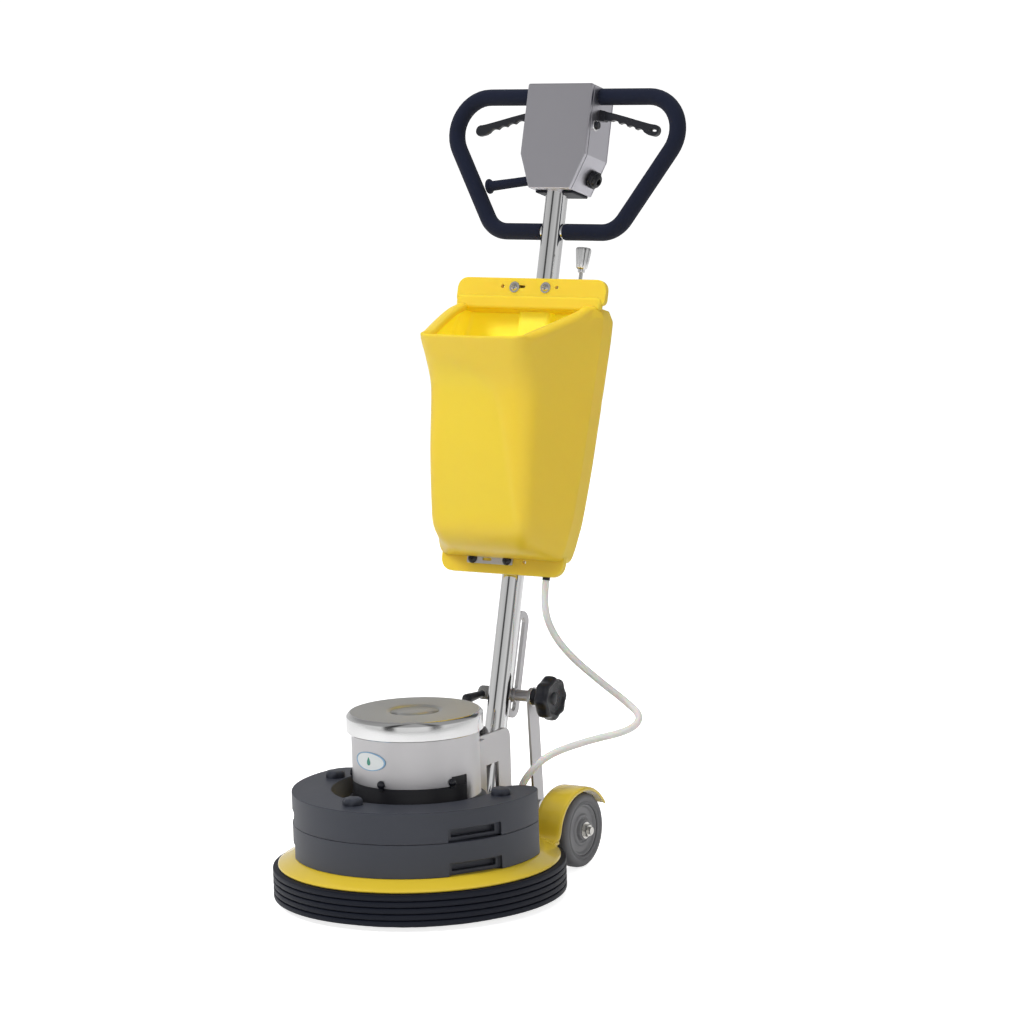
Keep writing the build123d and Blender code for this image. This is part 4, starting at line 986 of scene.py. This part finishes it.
def make_box_fittings():
    """The safety button in its bright ring, the cord's gland, and the cord hook."""
    button = MAST @ Matrix.Translation((0, -0.008, 0.942)) @ Matrix.Rotation(math.radians(90), 4, "Y")
    ring = turned_ring("button_ring",
                       [(0.0063, 0.0585), (0.0086, 0.0585), (0.009, 0.0592), (0.009, 0.0612),
                        (0.0084, 0.062),
                                       (0.007, 0.062), (0.0063, 0.0612)], button, steps=48)
    finish_piece(ring, LOOKS["chrome_trim"], "mast", "button_bezel")
    cap = lathe("button_cap",
                [(0.0074, 0.050), (0.0074, 0.054), (0.006, 0.0542), (0.006, 0.0652), (0.0054, 0.0663),
                               (0.0035, 0.0665), (0.003, 0.0661)], button, steps=48)
    finish_piece(cap, LOOKS["black_plastic"], "button", "safety_button")
    gland = MAST @ Matrix.Translation((0.047, 0.022, 0.863)) @ Matrix.Rotation(math.radians(111.7), 4, "Y")
    nut = [(0.0150 * math.cos(TURN * (k + 0.5) / 8), 0.0150 * math.sin(TURN * (k + 0.5) / 8))
           for k in range(8)]
    finish_piece(ease_edges(prism("gland_nut", nut, 0.0003, 0.0085, gland), 0.0016), LOOKS["black_plastic"],
                 "mast",
                 "cable_gland")
    nose = turned_ring("gland_nose",
                       [(0.0045, 0.004), (0.0118, 0.004), (0.0118, 0.0095), (0.0112, 0.0105),
                        (0.0104, 0.0118), (0.0088, 0.0128), (0.0075, 0.0138), (0.0055, 0.014),
                        (0.0045, 0.0132)], gland, 48)
    finish_piece(nose, LOOKS["black_plastic"], "mast")
    start, end = Vector((-45.5, 4, 857.5)), Vector((-131, 4, 846.3))
    stations = ((0.0, 7.2), (0.02, 7.5), (0.5, 7.6), (0.88, 8.0), (0.925, 8.6), (0.94, 10.8), (0.955, 11.8),
                (0.975, 12.0),
                (0.99, 11.4), (1.0, 9.5))
    hook = tube("cord_hook_bar", [on_mast(*start.lerp(end, share)) for share, _ in stations],
                [radius * MM for _, radius in stations], sides=32)
    finish_piece(hook, LOOKS["foam"], "mast", "cord_hook")


def lobed(name, levels, lobes, depth, place, steps=160):
    """A turned shape whose rim swells into lobes; levels are (radius, height, share of the lobes' depth)."""
    points = []
    for radius, height, share in levels:
        for step in range(steps):
            angle = TURN * step / steps
            swell = radius * (1 + depth * share * math.cos(lobes * angle))
            points.append(place @ Vector((swell * math.cos(angle), swell * math.sin(angle), height)))
    faces = grid_faces(len(levels), steps)
    faces += [tuple(reversed(range(steps))), tuple(range((len(levels) - 1) * steps, len(levels) * steps))]
    return new_piece(name, points, faces, sharp_deg=50)


def make_valve_knob():
    place = MAST @ Matrix.Translation((0.074, -0.024, 0))
    levels = [(5.2, 706, 0), (5.5, 707, 0), (5.5, 711, 0), (7.2, 712, 0.4), (8.2, 713.5, 1), (9.6, 724, 1),
              (11.3, 740, 1),
              (11.2, 743, 1), (10.2, 744.8, 0.8), (7.5, 745, 0.2), (7.0, 744.2, 0), (2.0, 744, 0)]
    knob = lobed("valve_knob_fluted", [(r * MM, s * MM, share) for r, s, share in levels], 10, 0.075, place)
    finish_piece(knob, LOOKS["chrome_trim"], "valve", "valve_knob")


# ------------------------------------------------------------------ base, weights and motor

ACROSS = Matrix(((0, 0, 1, 0), (1, 0, 0, 0), (0, 1, 0, 0), (0, 0, 0, 1)))


def face_outward(piece):
    mesh = bmesh.new()
    mesh.from_mesh(piece.data)
    bmesh.ops.recalc_face_normals(mesh, faces=mesh.faces)
    mesh.to_mesh(piece.data)
    mesh.free()
    return piece


def in_mm(points):
    return [(u * MM, v * MM) for u, v in points]


def make_bumper():
    """A rubber band with five flat ribs, rounded at their edges."""
    low, high, ribs = 8.0, 55.4, 5
    pitch = (high - low) / ribs
    profile = [(205, low), (214, low)]
    for rib in range(ribs):
        foot = low + rib * pitch
        profile += [(216.8, foot + 0.4), (218.4, foot + 0.7), (219.6, foot + 1.5), (220, foot + 2.8),
                    (220, foot + pitch - 2.6),
                    (219.6, foot + pitch - 1.3), (218.4, foot + pitch - 0.6), (216.8, foot + pitch - 0.3)]
    profile += [(213, high), (205, high)]
    finish_piece(turned_ring("ribbed_bumper", in_mm(profile), steps=180), LOOKS["black_rubber"], "base",
                 "bumper")


def make_pad():
    """The fibre pad under the driver: a thick disc with a rounded rim and a rough, open skin."""
    corners = [(30, 21.8), (190, 21.8), (195, 20.8), (196.8, 17.5), (196.8, 4.5), (195, 1.4), (190, 0.5),
               (4, 0.5)]
    profile = []
    for start, end in zip(corners, corners[1:]):
        start, end = Vector(start), Vector(end)
        steps = max(1, round((end - start).length / 3.5))
        profile += [start.lerp(end, step / steps) for step in range(steps)]
    pad = lathe("fibre_pad", in_mm(profile + [Vector(corners[-1])]), steps=200)
    for point in pad.data.vertices:
        rough = 0.5 + 0.5 * noise.noise(point.co * 260)
        point.co.x *= 1 - 0.0025 * rough
        point.co.y *= 1 - 0.0025 * rough
        point.co.z += (0.0004 if point.co.z < 0.011 else -0.0004) * rough
    # Its near-black finish is painted shade for the shadow under the bumper.
    finish_piece(pad, LOOKS["pad_fibre"], "brush", "scrub_pad")


def make_deck():
    """The pressed deck: a flat top, a sloping shoulder and a rolled rim."""
    profile = [(199.5, 14), (205, 14), (205, 55.7), (209.5, 55.6), (211.3, 56.3), (212, 57.8),
               (211.5, 59.4), (210, 60.6),
               (206, 62.4), (200, 65.4), (194, 68.2), (190, 70.2), (187, 71.2), (183, 71.5), (62, 71.5),
               (62, 64.5),
               (187.5, 64.5), (199.5, 57)]
    finish_piece(turned_ring("deck_disc", in_mm(profile), steps=180), LOOKS["yellow_paint"], "base",
                 "base_deck")
    shelf = rounded([(100, 150, 1), (100, 236, 10), (-100, 236, 10), (-100, 150, 1)])
    tongue = rounded([(31, 180, 1), (31, 302, 8), (-31, 302, 8), (-31, 180, 1)])
    for name, outline, low, high in (("rear_shelf", shelf, 56.2, 62), ("tongue", tongue, 66.5, 72.5),
                                     ("tongue_root",
                                      [(-31, 180), (31, 180), (31, 232), (-31, 232)], 60, 67)):
        plate = prism(name, in_mm(outline), low * MM, high * MM)
        finish_piece(ease_edges(plate, 0.0012), LOOKS["yellow_paint"], "base")
    lug = [(276.2, 67), (302, 67)] + arc((290.2, 80), 12, 0, 180, 16)
    for side, low in (("right", 24), ("left", -31)):
        ear = prism(f"strut_ear_{side}", in_mm(lug), low * MM, (low + 7) * MM, ACROSS)
        finish_piece(ease_edges(ear, 0.001), LOOKS["yellow_paint"], "base")


FENDER_LINE = ((311, 93), (304, 101), (293, 111), (278, 120), (262, 125.3), (245, 127), (227, 125.5),
               (211, 121), (198, 114),
               (187, 105), (178.5, 94), (173, 83), (169.5, 73), (166, 66.5), (160, 63.2), (152, 62.6))


def fender_line():
    """The fender's side line in (y, z), from its rear end to the deck, with its outward bearing."""
    line, last = [], len(FENDER_LINE) - 1
    for index in range(last):
        before, start, end, after = (Vector(FENDER_LINE[min(max(index + step, 0), last)])
                                     for step in (-1, 0, 1, 2))
        for step in range(5):
            t = step / 5
            line.append(0.5 * (2 * start + (end - before) * t
                               + (2 * before - 5 * start + 4 * end - after) * t * t
                               + (3 * start - before - 3 * end + after) * t ** 3))
    line.append(Vector(FENDER_LINE[-1]))
    ahead = [line[min(index + 1, len(line) - 1)] - line[max(index - 1, 0)] for index in range(len(line))]
    return [(place, math.atan2(way.y, way.x) - math.pi / 2) for place, way in zip(line, ahead)]


def make_fender(side, sign):
    """A pressed arch with a turned-down outer edge, which runs forward into the deck."""
    section = [(98, -3.6), (98, -0.8), (98.9, 0), (106, 0.2), (122, 0.3), (137, 0.1), (141.4, -0.4),
               (143.2, -1.4), (144, -3),
               (144, -5.2), (143.4, -5.9), (142.4, -5.7), (141.8, -4.6), (140, -3.8), (122, -3.6),
               (104, -3.6)]
    points = []
    for place, outward in fender_line():
        for across, lift in section:
            at = place + lift * Vector((math.cos(outward), math.sin(outward)))
            points.append(Vector((sign * across, at.x, at.y)) * MM)
    rows, count = len(fender_line()), len(section)
    faces = grid_faces(rows, count) + [tuple(range(count)), tuple(range((rows - 1) * count, rows * count))]
    arch = face_outward(new_piece(f"fender_arch_{side}", points, faces, sharp_deg=55))
    finish_piece(arch, LOOKS["yellow_paint"], "base")
    centre = (WHEEL_AXIS.y / MM, WHEEL_AXIS.z / MM)
    web = [tuple(place - 2.5 * Vector((math.cos(out), math.sin(out)))) for place, out in fender_line()[:-3]]
    web = in_mm(web + arc(centre, 14, 180, 414, 20))
    low, high = sorted((sign * 98.2 * MM, sign * 103 * MM))
    finish_piece(ease_edges(prism(f"fender_web_{side}", web, low, high, ACROSS), 0.0008),
                 LOOKS["yellow_paint"], "base")
    toe = rounded([(86, 150, 1), (146, 150, 3), (146, 168, 6), (86, 176, 1)])
    if sign < 0:
        toe = [(-u, v) for u, v in reversed(toe)]
    finish_piece(ease_edges(prism(f"fender_toe_{side}", in_mm(toe), 0.0558, 0.0606), 0.0016),
                 LOOKS["yellow_paint"], "base")


def make_weights():
    """Two cast C-shaped weights with hand holds, on three studs."""
    outer, inner, end = 187.5, 128.0, 14
    middle, half = (outer + inner) / 2, (outer - inner) / 2
    right_tip = (middle * math.cos(math.radians(end)), middle * math.sin(math.radians(end)))
    outline = arc((0, 0), outer, -180 - end, end, 110) + arc(right_tip, half, end, end + 180, 18)[1:]
    outline += arc((0, 0), inner, end, -180 - end, 80)[1:] + arc((-right_tip[0], right_tip[1]), half, -end,
                                                                 180 - end, 18)[1:-1]
    for name, low, high, node in (("lower", 71.5, 121.6, "weight_lower"),
                                  ("upper", 122.0, 168.5, "weight_upper")):
        body = prism(f"cast_weight_{name}", in_mm(outline), low * MM, high * MM)
        cutters = []
        for deg in (-30, -150):
            turn = Matrix.Rotation(math.radians(deg), 4, "Z") @ ACROSS
            pocket = rounded([(43.5, low - 2, 0.5), (43.5, low + 20, 2), (-43.5, low + 20, 2),
                              (-43.5, low - 2, 0.5)], 3)
            deep = rounded([(36, low + 6, 2), (36, low + 16, 2), (-36, low + 16, 2), (-36, low + 6, 2)], 3)
            cutters.append(prism("cutter", in_mm(pocket), (outer - 12) * MM, 0.2, turn))
            cutters.append(prism("cutter", in_mm(deep), (outer - 22) * MM, 0.2, turn))
        cut(body, cutters)
        finish_piece(ease_edges(body, 0.0022, steps=4, angle_deg=42), LOOKS["weight_paint"], "base", node)
    for index, deg in enumerate((0, 180, -97)):
        place = Matrix.Rotation(math.radians(deg), 4, "Z") @ Matrix.Translation((0.147, 0, 0))
        levels = [(14.2, 168.4, 0), (14.6, 169.2, 0.4), (14.6, 174.0, 1), (14.2, 176.2, 1),
                  (12.8, 177.8, 1), (10.8, 178.5, 1),
                  (4, 178.6, 0)]
        stud = lobed(f"weight_stud_{index + 1}", [(r * MM, z * MM, share) for r, z, share in levels], 6,
                     0.06, place, 96)
        finish_piece(stud, LOOKS["weight_paint"], "base", *(("weight_knobs",) if index == 0 else ()))


def on_cover(u, z, height):
    """A point on the motor's round cover: u round it from the badge's middle, z up, height out from it."""
    angle = math.radians(-103) + u / 95.6
    radius = 95.6 + height
    return Vector((radius * math.cos(angle), radius * math.sin(angle), z)) * MM


def oval_patch(name, rings, across, up, middle_z, steps=72):
    """A patch of oval rings on the cover; rings are (share of the oval, height), from outside in."""
    points = [on_cover(across * share * math.cos(TURN * k / steps),
                       middle_z + up * share * math.sin(TURN * k / steps), height)
              for share, height in rings for k in range(steps)]
    faces = grid_faces(len(rings), steps) + [tuple(range((len(rings) - 1) * steps, len(rings) * steps))]
    faces.append(tuple(reversed(range(steps))))
    return new_piece(name, points, faces)


def make_motor_top():
    """The polished cap with its matt top and shallow dish, black collar, badge and cover screws."""
    collar = [(93.95, 150.4), (103.8, 150.4), (103.8, 152), (101, 154), (96.4, 156.5), (95.3, 159),
              (95.3, 182.4), (93.95, 182.8)]
    finish_piece(turned_ring("housing_collar", in_mm(collar), steps=160), LOOKS["black_cast"], "base")
    band = [(95.8, 254.9), (101.4, 254.9), (102.5, 256.0), (102.5, 277.4), (102.1, 278.9), (98.6, 282.9),
            (97.2, 283.6),
            (94, 283.6), (94, 258), (95.8, 257)]
    finish_piece(turned_ring("cap_band", in_mm(band), steps=160), LOOKS["polished_steel"], "base",
                 "motor_cap")
    top = [(96.9, 281), (96.9, 283.2), (96.3, 283.7), (44, 283.8), (40.5, 283.3), (38, 281.6),
           (36.8, 281.0), (3, 280.8)]
    finish_piece(lathe("cap_top", in_mm(top), steps=160), LOOKS["matt_steel"], "base")
    face = [(0.93, 0.2), (0.93, 1.1), (0.5, 1.15), (0.05, 1.2)]
    finish_piece(oval_patch("badge_face", face, 31, 14, 222), LOOKS["badge_enamel"], "base", "badge")
    rim = [(1.0, 0.1), (1.0, 1.2), (0.985, 1.6), (0.95, 1.75), (0.915, 1.6), (0.90, 1.15), (0.90, 0.6)]
    finish_piece(oval_patch("badge_rim", rim, 31, 14, 222), LOOKS["badge_rim"], "base")
    drop = [(4.6 * math.sin(a) * math.sin(a / 2) ** 1.2, 222.4 + 6.2 * math.cos(a))
            for a in (TURN * k / 40 for k in range(40))]
    points = [on_cover(u, z, height) for height in (1.0, 1.5) for u, z in drop]
    faces = [tuple(reversed(range(40))),
             tuple(range(40, 80))] + [(k, (k + 1) % 40, 40 + (k + 1) % 40, 40 + k) for k in range(40)]
    finish_piece(face_outward(new_piece("badge_drop", points, faces)), LOOKS["badge_mark"], "base")
    for index, deg in enumerate((-90, -24, -156)):
        place = Matrix.Rotation(math.radians(deg), 4, "Z") @ along_x(0.0957, 0, 0.189)
        head = [(5.2, -0.2), (6.0, 0.3), (6.0, 1.5), (5.5, 3.2), (4.2, 4.5), (2.0, 5.0)]
        screw = lathe(f"cover_screw_{index + 1}", in_mm(head), place, steps=40)
        finish_piece(screw, LOOKS["black_plastic"], "base", *(("cover_screws",) if index == 0 else ()))
        stem = prism(f"cover_tab_{index + 1}",
                     in_mm(rounded([(0, -4.5, 1), (0, 4.5, 1), (9, 3.5, 1), (9, -3.5, 1)], 2)),
                     -0.0005, 0.0022, place)
        finish_piece(ease_edges(stem, 0.0006), LOOKS["black_plastic"], "base")


# ------------------------------------------------------------------ wheels and clamps

def make_wheel(side, sign):
    """A moulded wheel: a rounded tyre round a hub with raised rings."""
    place = along_x(WHEEL_AXIS.x * sign, WHEEL_AXIS.y, WHEEL_AXIS.z, mirrored=sign < 0)
    tyre = [(40, -12), (44, -13.4), (50, -14), (54, -13), (56.8, -10), (58, -5), (58, 5), (56.8, 10),
            (54.4, 12.6), (51, 13.8),
            (47.6, 13.6), (45.6, 12.2), (44.6, 12.0), (43.4, 12.6), (41.6, 12.6), (40, 11.4)]
    hub = [(6.1, -14), (16, -14), (17, -10), (40.2, -10), (40.2, 9.4), (39, 10.4), (37.2, 10.4), (36, 9.0),
           (34.6, 7.0), (29, 6.6),
           (25, 7.6), (23.6, 9.6), (22.4, 10.4), (20.6, 10.4), (19.4, 9.2), (18.2, 8.2), (16.4, 8.6),
           (15.4, 13.2), (14.4, 14),
           (6.1, 14)]
    finish_piece(turned_ring(f"tyre_{side}", in_mm(tyre), place, 128), LOOKS["grey_tyre"], f"wheel_{side}",
                 f"wheel_tyre_{side}")
    finish_piece(turned_ring(f"hub_{side}", in_mm(hub), place, 128), LOOKS["grey_hub"], f"wheel_{side}",
                 f"wheel_hub_{side}")


def make_clamps():
    """The lobed knob on the bolt's right end and the cam lever on its left end."""
    place = along_x(0, BOLT.y, BOLT.z)
    levels = [(12, 52.4, 0), (22, 53, 0.2), (29, 55.6, 0.7), (32.4, 59.5, 1), (33.2, 64, 1), (33.2, 70, 1),
              (32.2, 74.5, 1),
              (30, 77.2, 0.95), (27.2, 78, 0.8), (24.8, 77.4, 0.6), (23.2, 75, 0.35), (21, 73.8, 0.1),
              (10, 73.4, 0),
              (9, 75, 0), (8, 75.8, 0), (2, 76, 0)]
    knob = lobed("star_knob_moulded", [(r * MM, x * MM, share) for r, x, share in levels], 8, 0.055, place)
    finish_piece(knob, LOOKS["black_plastic"], "clamp_knob", "star_knob")
    collar = [(4.2, 38.6), (12.4, 38.6), (13, 39.4), (13, 48), (12, 50), (13.4, 53), (4.2, 53)]
    finish_piece(turned_ring("star_knob_collar", in_mm(collar), place, 64), LOOKS["black_plastic"],
                 "clamp_knob")
    washer = [(4.2, 36.5), (14.6, 36.5), (15, 36.9), (15, 38.2), (14.6, 38.6), (4.2, 38.6)]
    finish_piece(turned_ring("star_knob_washer", in_mm(washer), place, 64), LOOKS["chrome_trim"],
                 "clamp_knob")
    left = along_x(0, BOLT.y, BOLT.z, mirrored=True)
    ribs = [(4.2, 36.6), (10.4, 36.6)]
    for rib in range(5):
        foot = 37.2 + rib * 3.2
        ribs += [(11, foot), (11, foot + 1.9), (10, foot + 2.3), (10, foot + 2.8)]
    ribs += [(11, 53.4), (11, 57.5), (10.2, 59.2), (8, 60), (4.2, 60)]
    finish_piece(turned_ring("cam_hub", in_mm(ribs), left, 64), LOOKS["cam_grey"], "clamp_lever",
                 "cam_lever")
    base, tip = Vector((-51, 274, 254)) * MM, Vector((-51, 221.5, 254)) * MM
    stations = ((0, 5.2), (0.25, 5.6), (0.6, 6.8), (0.85, 7.8), (0.94, 7.9), (0.98, 6.8), (1.0, 4.5))
    arm = tube("cam_handle", [base.lerp(tip, share) for share, _ in stations],
               [radius * MM for _, radius in stations], 32)
    finish_piece(arm, LOOKS["black_plastic"], "clamp_lever")


# ------------------------------------------------------------------ build

make_camera()
make_hose()
make_stage()
dress_cad_nodes()
make_tank_shell()
make_tank_roof_and_flanges()
make_tank_fixings()
make_bumper()
make_pad()
make_deck()
make_weights()
make_motor_top()
make_clamps()
for side_name, side_sign in (("right", 1), ("left", -1)):
    make_grip(side_name, side_sign)
    make_lever(side_name, side_sign)
    make_fender(side_name, side_sign)
    make_wheel(side_name, side_sign)
make_control_box()
make_box_fittings()
make_valve_knob()
